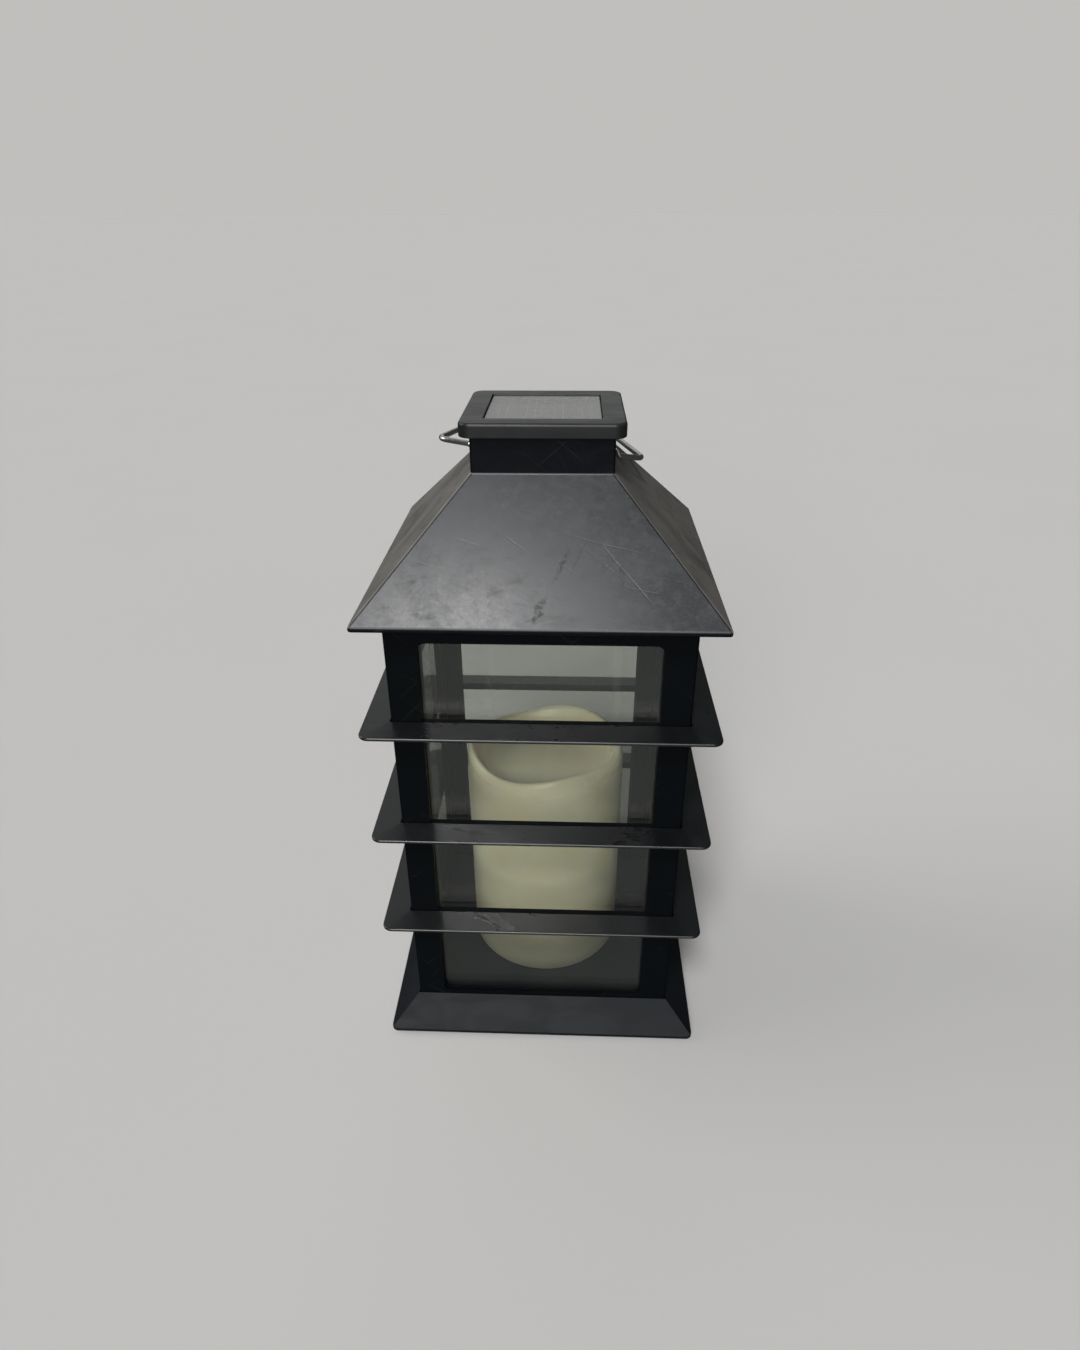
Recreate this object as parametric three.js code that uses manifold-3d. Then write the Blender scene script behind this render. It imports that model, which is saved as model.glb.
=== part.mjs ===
// A square solar lantern: a black plastic cage with glass panes and three louvre rings on a
// skirted base, a hipped roof whose neck carries the solar cap and a wire bail, and a wax
// candle that hides the rechargeable cell, the circuit and the lamp.
// Millimetres, +Z up, -Y is the front. The origin is the middle of the footprint on the ground.
import * as THREE from 'three';
import { mergeVertices } from 'three/addons/utils/BufferGeometryUtils.js';
import Module from 'manifold-3d';

const wasm = await Module();
wasm.setup();

// ---------------------------------------------------------------- driving dimensions
const GAP = 0.3; // between pieces that touch
const WALL = 2; // plastic shell thickness
const SIDES = [-1, 1];

// base: "half" sizes are half-widths of a square
const BASE_HALF = 75;
const BASE_BOTTOM = 1;
const BASE_LIP = 1.6;
const BASE_TOP = 14.4;
const BASE_RADIUS = 3;
const SKIRT_STEP = 0.8; // the skirt's inner lip stands this deep
const COLLAR_EASE = 0.7;
const FLOOR_TOP = 7;
const FLOOR_UNDER = 5;
const COVER_HALF = 71.2;
const COVER_BOTTOM = 1.2;
const COVER_TOP = 2.8;
const FOOT_RADIUS = 6;
const FOOT_HEIGHT = 1.1;
const FOOT_EASE = 0.4;
const FOOT_PLACE = 63;

// cage
const CAGE_HALF = 62;
const CAGE_WALL = 2.5;
const CAGE_INNER = CAGE_HALF - CAGE_WALL;
const CAGE_TOP = 226;
const CAGE_CORNER = 1.2;
const WINDOW_HALF = 49;
const WINDOW_BOTTOM = 16;
const WINDOW_TOP = 213.7;
const WINDOW_RADIUS = 3.5;
const SILL_STEP = 1.3; // inner layer of the sill stands this much higher
const SILL_OUTER_DEPTH = 1.4;

// louvres
const LOUVRE_HALF = 73.9;
const LOUVRE_FIRST = 68.75; // underside of the lowest ring
const LOUVRE_PITCH = 53.1;
const LOUVRE_NAMES = ['lower', 'middle', 'upper'];
const LOUVRE_THICK = 2.4;
const LOUVRE_EDGE = 1.5;
const LOUVRE_RADIUS = 4.5;
const LOUVRE_EASE = 0.6;
const SEAT_LENGTH = 5;
const SEAT_HEIGHT = 2;
const SEAT_REACH = 1;

// glass and corner columns
const PANE_THICK = 2;
const PANE_OUTER = CAGE_INNER - GAP;
const PANE_INNER = PANE_OUTER - PANE_THICK;
const COLUMN_OUTER = PANE_INNER - GAP;
const COLUMN_INNER = 49.2;
const COLUMN_BORE = 1.5;
const COLUMN_PLACE = (COLUMN_OUTER + COLUMN_INNER) / 2;

// ceiling tray and roof
const CEILING_UNDER = 216;
const CEILING_TOP = 218;
const CEILING_WALL = 1.7;
const FLANGE_INSET = 0.1; // the flange ends this far inside the cage
const EAVE_HALF = 72.5;
const EAVE_BOTTOM = 223.2;
const EAVE_LIP = 2;
const NECK_HALF = 28.4;
const NECK_WALL = 2.2;
const NECK_BOTTOM = 271.8;
const NECK_TOP = 285.9;
const RIB_LIFT = 0.6; // the rib outside the cage ends this far above the eave
const ROOF_RADIUS = 1.5;
const ROOF_SCREW_PLACE = 38;
const BOSS_RADIUS = 3.5;
const BOSS_TOP = 256;

// solar cap
const CAP_HALF = 32.45;
const CAP_BOTTOM = 286.2;
const CAP_TOP = 291.9;
const CAP_RADIUS = 5;
const CAP_CHAMFER = 1;
const CAP_WALL = 2.15;
const CAP_TRAY_THICK = 1.8;
const PLUG_WALL = 1.6;
const PLUG_BOTTOM = 281;
const CELL_BOARD_HALF = 26;
const WINDOW_PANE_HALF = 22.9;
const WINDOW_PANE_INSET = 0.5; // the clear window lies this far below the cap's top

// candle
const CANDLE_RADIUS = 39.25;
const CANDLE_BORE = 36.2;
const CANDLE_SEGMENTS = 40;
const RIM_HEIGHT = 127;
const BOWL_HEIGHT = 113.8;
const WAVE_START = 92; // the melted rim's waves fade out at this height
const WAVE_THREE = { height: 2.2, turn: THREE.MathUtils.degToRad(60) }; // three rises round the rim
const WAVE_ONE = { height: 2, turn: THREE.MathUtils.degToRad(-80) }; // one side stands higher

// electrics inside the candle
const HOUSING = { x: 30, front: -15, back: 17, top: 26, wall: 1.5 };
const CELL_RADIUS = 7.1;
const CELL_LENGTH = 50;
const CELL_Y = -6;
const CELL_Z = 11;
const BOARD_BOTTOM = 20;
const BOARD_THICK = 1.6;
const MAST_RADIUS = 4.5;
const MAST_BORE = 3;
const MAST_TOP = 100;
const LED_RADIUS = 2.5;
const LED_TOP = 108.5;
const SWITCH_Y = 11;
const SWITCH_TRAVEL = 2.5;
const SWITCH = { x: 5, y: 3, bottom: 5.2, top: 10 };
const MODULE_SCREW_X = 25;
const MODULE_SCREW_Y = 12;

// battery door
const DOOR_HINGE_X = -30;
const DOOR_END_X = 30.8;
const DOOR_FRONT = -13.8;
const DOOR_BACK = 2;
const DOOR_Z = (COVER_BOTTOM + COVER_TOP) / 2;
const KNUCKLE_RADIUS = (COVER_TOP - COVER_BOTTOM) / 2;
const KNUCKLE_CLEARANCE = 0.5;

// screws
const HEAD_RADIUS = 2.6;
const HEAD_HEIGHT = 1.6;
const SHANK_RADIUS = 1.15;
const SCREW_CLEARANCE = 1.6; // hole radius
const SCREW_PILOT = 1.4;
const SCREW_LENGTH = 12;
const BASE_SCREW_Z = 3.1;

// bail
const WIRE_RADIUS = 1.2;
const BAIL_HOLE = 1.5;
const BAIL_Z = 274.7;
const BAIL_REACH = 72.8; // from the hinge line to the middle of the grip
const BAIL_HOOK_X = 23.6;
const BAIL_HOOK = 3.4;
const BAIL_HOOK_BEND = 1.6; // centre-line bend radii
const BAIL_LEG_BEND = 1.3;
const BAIL_ELBOW = 5;
const BAIL_CORNER = 18;

// solar lead
const LEAD_RADIUS = 0.8;
const LEAD_CORNER = 58.2; // middle of the free corner between two pane edges
const LEAD_UNDER = 3.9;
const LEAD_OVER = 222;
const LEAD_BEND = 3;

// ---------------------------------------------------------------- materials
function finish(color, roughness, metalness = 0, opacity = 1) {
  const transparent = opacity < 1;
  return new THREE.MeshStandardMaterial({ color, roughness, metalness, opacity, transparent });
}

const black = finish(0x1b1c1f, 0.45);
const roofBlack = finish(0x34363a, 0.6);
const glass = finish(0xdde4e0, 0.05, 0, 0.3);
const wax = finish(0xcfc9a6, 0.5);
const steel = finish(0xb9bcc0, 0.25, 1);
const zinc = finish(0x9a9ca0, 0.4, 1);
const rubber = finish(0x222222, 0.9);
const silicon = finish(0x3c4450, 0.3);
const clearResin = finish(0xc8cdc8, 0.08, 0, 0.35);
const boardGreen = finish(0x1d5a36, 0.5);
const sleeve = finish(0x2f7d4f, 0.4);
const whitePlastic = finish(0xe6e4da, 0.55);
const leadRed = finish(0x8c2020, 0.6);

// ---------------------------------------------------------------- solid helpers
function outward(geometry) {
  const place = geometry.attributes.position;
  const index = geometry.index.array;
  const corner = [new THREE.Vector3(), new THREE.Vector3(), new THREE.Vector3()];
  let volume = 0;
  for (let i = 0; i < index.length; i += 3) {
    corner.forEach((point, k) => point.fromBufferAttribute(place, index[i + k]));
    volume += corner[0].dot(corner[1].cross(corner[2]));
  }
  if (volume < 0) {
    for (let i = 0; i < index.length; i += 3) {
      [index[i], index[i + 1]] = [index[i + 1], index[i]];
    }
  }
  return geometry;
}

function closed(geometry) {
  const bare = geometry.clone();
  bare.deleteAttribute('normal');
  bare.deleteAttribute('uv');
  const merged = mergeVertices(bare, 1e-4);
  const index = Array.from(merged.index.array);
  const kept = [];
  for (let i = 0; i < index.length; i += 3) {
    const [a, b, c] = index.slice(i, i + 3);
    if (a !== b && b !== c && c !== a) kept.push(a, b, c);
  }
  merged.setIndex(kept);
  return outward(merged);
}

function solid(geometry) {
  const shape = closed(geometry);
  const vertProperties = new Float32Array(shape.attributes.position.array);
  const triVerts = new Uint32Array(shape.index.array);
  return new wasm.Manifold(new wasm.Mesh({ numProp: 3, vertProperties, triVerts }));
}

function shapeOf(manifold) {
  const mesh = manifold.getMesh();
  const geometry = new THREE.BufferGeometry();
  geometry.setAttribute('position', new THREE.BufferAttribute(mesh.vertProperties, 3));
  geometry.setIndex(new THREE.BufferAttribute(mesh.triVerts, 1));
  geometry.computeVertexNormals();
  return geometry;
}

function block(x, y, z) {
  const geometry = new THREE.BoxGeometry(x[1] - x[0], y[1] - y[0], z[1] - z[0]);
  return geometry.translate((x[0] + x[1]) / 2, (y[0] + y[1]) / 2, (z[0] + z[1]) / 2);
}

function squareBlock(half, z) {
  return block([-half, half], [-half, half], z);
}

function rod(x, y, z, radius, segments = 16) {
  const geometry = new THREE.CylinderGeometry(radius, radius, z[1] - z[0], segments);
  return geometry.rotateX(Math.PI / 2).translate(x, y, (z[0] + z[1]) / 2);
}

// a profile of [radius, height] points turned about Z
function turned(profile, segments) {
  const points = profile.map(([radius, height]) => new THREE.Vector2(radius, height));
  return new THREE.LatheGeometry(points, segments).rotateX(Math.PI / 2);
}

// a profile of [half-width, height] points carried round a square, mitred at the corners
function squareTurned(profile) {
  const points = profile.map(([half, height]) => new THREE.Vector2(half * Math.SQRT2, height));
  return new THREE.LatheGeometry(points, 4, Math.PI / 4).rotateX(Math.PI / 2);
}

function ringProfile(points) {
  return [...points, points[0]];
}

function roundedRectangle(x, y, radius) {
  const shape = new THREE.Shape();
  shape.moveTo(x[0] + radius, y[0]);
  shape.absarc(x[1] - radius, y[0] + radius, radius, -Math.PI / 2, 0);
  shape.absarc(x[1] - radius, y[1] - radius, radius, 0, Math.PI / 2);
  shape.absarc(x[0] + radius, y[1] - radius, radius, Math.PI / 2, Math.PI);
  shape.absarc(x[0] + radius, y[0] + radius, radius, Math.PI, 1.5 * Math.PI);
  return shape;
}

function roundedPrism(half, radius, z, curveSegments = 5) {
  const shape = roundedRectangle([-half, half], [-half, half], radius);
  const settings = { depth: z[1] - z[0], bevelEnabled: false, curveSegments };
  return new THREE.ExtrudeGeometry(shape, settings).translate(0, 0, z[0]);
}

// a route that passes exactly through its points, one section at each
class PointRoute extends THREE.Curve {
  constructor(points) {
    super();
    this.points = points;
  }

  getPoint(t) {
    const place = t * (this.points.length - 1);
    const i = Math.min(Math.floor(place), this.points.length - 2);
    return this.points[i].clone().lerp(this.points[i + 1], place - i);
  }

  getTangent(t) {
    const i = Math.round(t * (this.points.length - 1));
    const before = this.points[Math.max(i - 1, 0)];
    const after = this.points[Math.min(i + 1, this.points.length - 1)];
    return after.clone().sub(before).normalize();
  }

  getPointAt(u) {
    return this.getPoint(u);
  }

  getTangentAt(u) {
    return this.getTangent(u);
  }

  getSpacedPoints() {
    return this.points.map((point) => point.clone());
  }
}

// corners joined by straight runs, each inner corner rounded by an arc of its own radius
function filleted(corners, radii, arcSteps = 5) {
  const points = [corners[0].clone()];
  for (let i = 1; i < corners.length - 1; i += 1) {
    const radius = radii[i - 1];
    const toBefore = corners[i - 1].clone().sub(corners[i]).normalize();
    const toAfter = corners[i + 1].clone().sub(corners[i]).normalize();
    const opening = toBefore.angleTo(toAfter);
    const middle = toBefore.clone().add(toAfter).normalize();
    const centre = corners[i].clone().addScaledVector(middle, radius / Math.sin(opening / 2));
    const start = corners[i].clone().addScaledVector(toBefore, radius / Math.tan(opening / 2));
    const spoke = start.sub(centre);
    const axis = toAfter.clone().cross(toBefore).normalize();
    for (let step = 0; step <= arcSteps; step += 1) {
      const turn = ((Math.PI - opening) * step) / arcSteps;
      points.push(spoke.clone().applyAxisAngle(axis, turn).add(centre));
    }
  }
  points.push(corners[corners.length - 1].clone());
  return points;
}

function wire(points, radius, sides = 8) {
  const section = new THREE.Shape();
  for (let i = 0; i < sides; i += 1) {
    const angle = (2 * Math.PI * i) / sides;
    const x = radius * Math.cos(angle);
    const y = radius * Math.sin(angle);
    if (i === 0) section.moveTo(x, y);
    else section.lineTo(x, y);
  }
  const settings = { steps: points.length - 1, extrudePath: new PointRoute(points) };
  return new THREE.ExtrudeGeometry(section, settings);
}

function cutAll(body, cutters) {
  return cutters.reduce((left, cutter) => left.subtract(solid(cutter)), body);
}

function addAll(body, pieces) {
  return pieces.reduce((whole, piece) => whole.add(solid(piece)), body);
}

function atCorners(place, make) {
  return SIDES.flatMap((x) => SIDES.map((y) => make(x * place, y * place)));
}

function point(x, y, z) {
  return new THREE.Vector3(x, y, z);
}

// ---------------------------------------------------------------- the lantern
const lantern = new THREE.Group();

function add(name, geometry, material) {
  const mesh = new THREE.Mesh(closed(geometry), material);
  mesh.geometry.computeVertexNormals();
  mesh.name = name;
  lantern.add(mesh);
}

function eachCorner(make) {
  SIDES.forEach((x) => SIDES.forEach((y) => {
    const name = `${y < 0 ? 'front' : 'rear'}_${x < 0 ? 'left' : 'right'}`;
    make(x, y, name);
  }));
}

// a pan-head screw whose head sits at z and whose shank points along direction (+1 up, -1 down)
function screw(x, y, headZ, direction, length) {
  const recess = { radius: 0.9, depth: 0.8 };
  const crown = { radius: HEAD_RADIUS * 0.85, height: 0.5 };
  const tip = HEAD_HEIGHT + length;
  const profile = [
    [0, recess.depth],
    [recess.radius, 0],
    [crown.radius, 0],
    [HEAD_RADIUS, crown.height],
    [HEAD_RADIUS, HEAD_HEIGHT],
    [SHANK_RADIUS, HEAD_HEIGHT],
    [SHANK_RADIUS, tip - 1],
    [0, tip],
  ];
  const geometry = turned(profile, 10);
  if (direction < 0) geometry.rotateX(Math.PI);
  return geometry.translate(x, y, headZ);
}

function makeBase() {
  const slope = (BASE_TOP - BASE_BOTTOM - BASE_LIP) / (BASE_HALF - CAGE_HALF - GAP);
  const collarInner = CAGE_HALF + GAP;
  const collarOuter = collarInner + WALL;
  const innerHalf = BASE_HALF - WALL;
  const profile = [
    [0, FLOOR_UNDER],
    [collarOuter, FLOOR_UNDER],
    [collarOuter, BASE_BOTTOM + SKIRT_STEP + (innerHalf - collarOuter) * slope],
    [innerHalf, BASE_BOTTOM + SKIRT_STEP],
    [innerHalf, BASE_BOTTOM],
    [BASE_HALF, BASE_BOTTOM],
    [BASE_HALF, BASE_BOTTOM + BASE_LIP],
    [collarInner + COLLAR_EASE, BASE_TOP - COLLAR_EASE * slope],
    [collarInner, BASE_TOP],
    [collarInner, FLOOR_TOP],
    [0, FLOOR_TOP],
  ];
  const rounding = roundedPrism(BASE_HALF, BASE_RADIUS, [0, BASE_TOP + 1]);
  const through = [FLOOR_UNDER - 1, FLOOR_TOP + 1];
  const batteryMouth = block([-28.2, 28.2], [-13.4, 1.4], through);
  const switchMouth = block([-18, 8], [5, 15], through);
  const leadHole = rod(-LEAD_CORNER, LEAD_CORNER - 0.4, through, 2);
  const cutters = [
    batteryMouth,
    switchMouth,
    leadHole,
    ...SIDES.map((side) => rod(side * MODULE_SCREW_X, MODULE_SCREW_Y, through, SCREW_CLEARANCE)),
    ...atCorners(COLUMN_PLACE, (x, y) => rod(x, y, through, SCREW_CLEARANCE)),
  ];
  const body = solid(squareTurned(profile)).intersect(solid(rounding));
  add('base_tray', shapeOf(cutAll(body, cutters)), black);
}

function makeBottomCover() {
  const through = [COVER_BOTTOM - 1, COVER_TOP + 1];
  const doorLeft = DOOR_HINGE_X - KNUCKLE_RADIUS - KNUCKLE_CLEARANCE;
  const doorMouth = block([doorLeft, DOOR_END_X + GAP], [DOOR_FRONT - GAP, DOOR_BACK + GAP], through);
  const thumbNotch = rod(DOOR_END_X, (DOOR_FRONT + DOOR_BACK) / 2, through, 4);
  const switchMouth = block([-5.5, 5.5], [SWITCH_Y - 2.5, SWITCH_Y + 2.5], through);
  const headHoles = atCorners(COLUMN_PLACE, (x, y) => rod(x, y, through, HEAD_RADIUS + 0.7));
  const plate = solid(squareBlock(COVER_HALF, [COVER_BOTTOM, COVER_TOP]));
  const cutters = [doorMouth, thumbNotch, switchMouth, ...headHoles];
  add('bottom_cover', shapeOf(cutAll(plate, cutters)), black);
}

function makeFeet() {
  const profile = [
    [0, 0],
    [FOOT_RADIUS - FOOT_EASE, 0],
    [FOOT_RADIUS, FOOT_EASE],
    [FOOT_RADIUS, FOOT_HEIGHT],
    [0, FOOT_HEIGHT],
  ];
  eachCorner((x, y, name) => {
    const foot = turned(profile, 20).translate(x * FOOT_PLACE, y * FOOT_PLACE, 0);
    add(`foot_pad_${name}`, foot, rubber);
  });
}

function makeBaseScrews() {
  eachCorner((x, y, name) => {
    const place = [x * COLUMN_PLACE, y * COLUMN_PLACE];
    add(`base_screw_${name}`, screw(...place, BASE_SCREW_Z, 1, SCREW_LENGTH), zinc);
  });
}

function windowCutter(bottom, top, depth) {
  const shape = roundedRectangle([-WINDOW_HALF, WINDOW_HALF], [bottom, top], WINDOW_RADIUS);
  const settings = { depth: 2 * depth, bevelEnabled: false, curveSegments: 5 };
  return new THREE.ExtrudeGeometry(shape, settings).translate(0, 0, -depth).rotateX(Math.PI / 2);
}

// a square ring in the cage's own wall, between two heights
function cageBand(bottom, top) {
  const outside = solid(squareBlock(CAGE_HALF, [bottom, top]));
  const inside = solid(squareBlock(CAGE_INNER, [bottom - 1, top + 1]));
  const rounding = solid(roundedPrism(CAGE_HALF, CAGE_CORNER, [bottom - 1, top + 1], 2));
  return outside.intersect(rounding).subtract(inside);
}

// windows through all four walls, from one height up to the head of the window
function fourWindows(bottom) {
  const reach = CAGE_HALF + 1;
  const front = windowCutter(bottom, WINDOW_TOP, reach);
  const side = front.clone().rotateZ(Math.PI / 2);
  return solid(front).add(solid(side));
}

function makeCage() {
  const innerLayer = fourWindows(WINDOW_BOTTOM + SILL_STEP);
  const core = solid(squareBlock(CAGE_HALF - SILL_OUTER_DEPTH, [0, CAGE_TOP + 1]));
  const outerLayer = fourWindows(WINDOW_BOTTOM).subtract(core);
  let cage = cageBand(FLOOR_TOP + GAP, CAGE_TOP).subtract(innerLayer).subtract(outerLayer);
  LOUVRE_NAMES.forEach((_, i) => {
    const z = louvreUnder(i);
    cage = cage.add(cageBand(z, z + LOUVRE_THICK));
    cage = addAll(cage, louvreSeats(z - GAP));
  });
  add('body_cage', shapeOf(cage), black);
}

function louvreUnder(i) {
  return LOUVRE_FIRST + i * LOUVRE_PITCH;
}

// two small ledges on each outer face that the ring above them sits on
function louvreSeats(top) {
  const seats = [];
  const span = [CAGE_HALF - 1, CAGE_HALF + SEAT_REACH];
  const middle = (WINDOW_HALF + CAGE_HALF) / 2;
  SIDES.forEach((side) => {
    const along = [side * middle - SEAT_LENGTH / 2, side * middle + SEAT_LENGTH / 2];
    for (let quarter = 0; quarter < 4; quarter += 1) {
      const seat = block(span, along, [top - SEAT_HEIGHT, top]);
      seats.push(seat.rotateZ((quarter * Math.PI) / 2));
    }
  });
  return seats;
}

function makeLouvres() {
  LOUVRE_NAMES.forEach((name, i) => {
    const z = louvreUnder(i);
    const inner = CAGE_HALF + GAP;
    const profile = ringProfile([
      [inner, z],
      [LOUVRE_HALF - LOUVRE_EASE, z],
      [LOUVRE_HALF, z + LOUVRE_EASE],
      [LOUVRE_HALF, z + LOUVRE_EDGE - LOUVRE_EASE],
      [LOUVRE_HALF - 1.5 * LOUVRE_EASE, z + LOUVRE_EDGE],
      [inner, z + LOUVRE_THICK],
    ]);
    const rounding = roundedPrism(LOUVRE_HALF, LOUVRE_RADIUS, [z - 1, z + LOUVRE_THICK + 1]);
    const ring = solid(squareTurned(profile)).intersect(solid(rounding));
    add(`louvre_ring_${name}`, shapeOf(ring), black);
  });
}

function makePanes() {
  const height = [FLOOR_TOP + GAP, CEILING_UNDER - GAP];
  const width = [-COLUMN_OUTER, COLUMN_OUTER];
  ['front', 'right', 'rear', 'left'].forEach((name, quarter) => {
    const pane = block(width, [-PANE_OUTER, -PANE_INNER], height);
    add(`glass_pane_${name}`, pane.rotateZ((quarter * Math.PI) / 2), glass);
  });
}

// square columns behind the posts; they clamp the pane edges and tie base to ceiling
function makeColumns() {
  const height = [FLOOR_TOP + GAP, CEILING_UNDER - GAP];
  eachCorner((x, y, name) => {
    const alongX = [x * COLUMN_OUTER, x * COLUMN_INNER].sort((a, b) => a - b);
    const alongY = [y * COLUMN_OUTER, y * COLUMN_INNER].sort((a, b) => a - b);
    const place = [x * COLUMN_PLACE, y * COLUMN_PLACE];
    const bore = rod(...place, [height[0] - 1, height[1] + 1], COLUMN_BORE, 10);
    const column = cutAll(solid(block(alongX, alongY, height)), [bore]);
    add(`pane_column_${name}`, shapeOf(column), black);
    const headTop = CEILING_TOP + GAP + HEAD_HEIGHT;
    add(`column_screw_${name}`, screw(...place, headTop, -1, SCREW_LENGTH), zinc);
  });
}

function makeCeiling() {
  const wallOuter = PANE_OUTER;
  const wallInner = wallOuter - CEILING_WALL;
  const flangeUnder = CAGE_TOP + GAP;
  const profile = [
    [0, CEILING_UNDER],
    [wallOuter, CEILING_UNDER],
    [wallOuter, flangeUnder],
    [CAGE_HALF - FLANGE_INSET, flangeUnder],
    [CAGE_HALF - FLANGE_INSET, flangeUnder + WALL],
    [wallInner, flangeUnder + WALL],
    [wallInner, CEILING_TOP],
    [0, CEILING_TOP],
  ];
  const through = [CEILING_UNDER - 1, CEILING_TOP + 1];
  const notchSpan = [LEAD_CORNER - 2.2, CAGE_HALF];
  const leadNotch = block(
    notchSpan.map((reach) => -reach).reverse(),
    notchSpan,
    [CEILING_UNDER - 1, LEAD_OVER + 2 * LEAD_RADIUS],
  );
  const cutters = [
    leadNotch,
    ...atCorners(COLUMN_PLACE, (x, y) => rod(x, y, through, SCREW_CLEARANCE)),
    ...roofScrewPlaces().map(([x, y]) => rod(x, y, through, SCREW_CLEARANCE)),
  ];
  add('ceiling_tray', shapeOf(cutAll(solid(squareTurned(profile)), cutters)), black);
}

function roofScrewPlaces() {
  return SIDES.flatMap((side) => [[side * ROOF_SCREW_PLACE, 0], [0, side * ROOF_SCREW_PLACE]]);
}

function roofSlope() {
  return (NECK_BOTTOM - EAVE_BOTTOM - EAVE_LIP) / (EAVE_HALF - NECK_HALF);
}

// height of the roof's inner face at a given half-width
function roofInside(half) {
  const slope = roofSlope();
  const drop = WALL * Math.hypot(1, slope);
  return EAVE_BOTTOM + EAVE_LIP + (EAVE_HALF - half) * slope - drop;
}

function makeRoof() {
  const neckInner = NECK_HALF - NECK_WALL;
  const ribInner = CAGE_HALF + GAP;
  const ribOuter = ribInner + WALL;
  const ribBottom = EAVE_BOTTOM + RIB_LIFT;
  const lipInner = EAVE_HALF - WALL;
  const profile = ringProfile([
    [EAVE_HALF, EAVE_BOTTOM],
    [EAVE_HALF, EAVE_BOTTOM + EAVE_LIP],
    [NECK_HALF, NECK_BOTTOM],
    [NECK_HALF, NECK_TOP],
    [neckInner, NECK_TOP],
    [neckInner, roofInside(neckInner)],
    [ribInner, roofInside(ribInner)],
    [ribInner, ribBottom],
    [ribOuter, ribBottom],
    [ribOuter, roofInside(ribOuter)],
    [lipInner, roofInside(lipInner)],
    [lipInner, EAVE_BOTTOM],
  ]);
  const rounding = solid(roundedPrism(EAVE_HALF, ROOF_RADIUS, [0, NECK_TOP + 1]));
  const roof = solid(squareTurned(profile)).intersect(rounding);
  const under = CEILING_TOP + GAP;
  const pilotSpan = [under - 1, under + SCREW_LENGTH + 1];
  const bosses = roofScrewPlaces().map(([x, y]) => rod(x, y, [under, BOSS_TOP], BOSS_RADIUS, 12));
  const pilots = roofScrewPlaces().map(([x, y]) => rod(x, y, pilotSpan, SCREW_PILOT, 10));
  const wireHole = rod(0, 0, [-NECK_HALF - 5, NECK_HALF + 5], BAIL_HOLE, 12);
  wireHole.rotateY(Math.PI / 2).translate(0, 0, BAIL_Z);
  add('roof_shell', shapeOf(cutAll(addAll(roof, bosses), [...pilots, wireHole])), roofBlack);
}

function makeRoofScrews() {
  const headZ = CEILING_UNDER - GAP - HEAD_HEIGHT;
  ['left', 'front', 'right', 'rear'].forEach((name, i) => {
    const place = roofScrewPlaces()[i];
    add(`roof_screw_${name}`, screw(...place, headZ, 1, SCREW_LENGTH), zinc);
  });
}

function makeCapFrame() {
  const topUnder = CAP_TOP - WALL;
  const opening = WINDOW_PANE_HALF + 0.4;
  const profile = ringProfile([
    [opening, topUnder],
    [CAP_HALF - CAP_WALL, topUnder],
    [CAP_HALF - CAP_WALL, CAP_BOTTOM],
    [CAP_HALF, CAP_BOTTOM],
    [CAP_HALF, CAP_TOP - CAP_CHAMFER],
    [CAP_HALF - CAP_CHAMFER, CAP_TOP],
    [opening, CAP_TOP],
  ]);
  const rounding = roundedPrism(CAP_HALF, CAP_RADIUS, [CAP_BOTTOM - 1, CAP_TOP + 1]);
  add('cap_frame', shapeOf(solid(squareTurned(profile)).intersect(solid(rounding))), black);
}

function makeCapTray() {
  const trayHalf = CAP_HALF - CAP_WALL - GAP;
  const plugOuter = NECK_HALF - NECK_WALL - GAP;
  const plugInner = plugOuter - PLUG_WALL;
  const profile = [
    [0, CAP_BOTTOM],
    [plugInner, CAP_BOTTOM],
    [plugInner, PLUG_BOTTOM],
    [plugOuter, PLUG_BOTTOM],
    [plugOuter, CAP_BOTTOM],
    [trayHalf, CAP_BOTTOM],
    [trayHalf, CAP_BOTTOM + CAP_TRAY_THICK],
    [0, CAP_BOTTOM + CAP_TRAY_THICK],
  ];
  const rounding = roundedPrism(trayHalf, CAP_RADIUS - WALL, [PLUG_BOTTOM - 1, CAP_TOP]);
  const tray = solid(squareTurned(profile)).intersect(solid(rounding));
  const leadHole = rod(0, 0, [CAP_BOTTOM - 1, CAP_TOP], 1.4);
  add('cap_tray', shapeOf(cutAll(tray, [leadHole])), black);
}

function makeSolarPanel() {
  const topUnder = CAP_TOP - WALL;
  const boardBottom = CAP_BOTTOM + CAP_TRAY_THICK + GAP;
  const windowTop = CAP_TOP - WINDOW_PANE_INSET;
  add('solar_cell', squareBlock(CELL_BOARD_HALF, [boardBottom, topUnder - GAP]), silicon);
  add('solar_window', squareBlock(WINDOW_PANE_HALF, [topUnder, windowTop]), clearResin);
}

// how far the melted rim stands above or below its mean height, going round the candle
function rimWave(angle) {
  const three = WAVE_THREE.height * Math.cos(3 * (angle - WAVE_THREE.turn));
  const one = WAVE_ONE.height * Math.cos(angle - WAVE_ONE.turn);
  return three + one;
}

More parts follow.
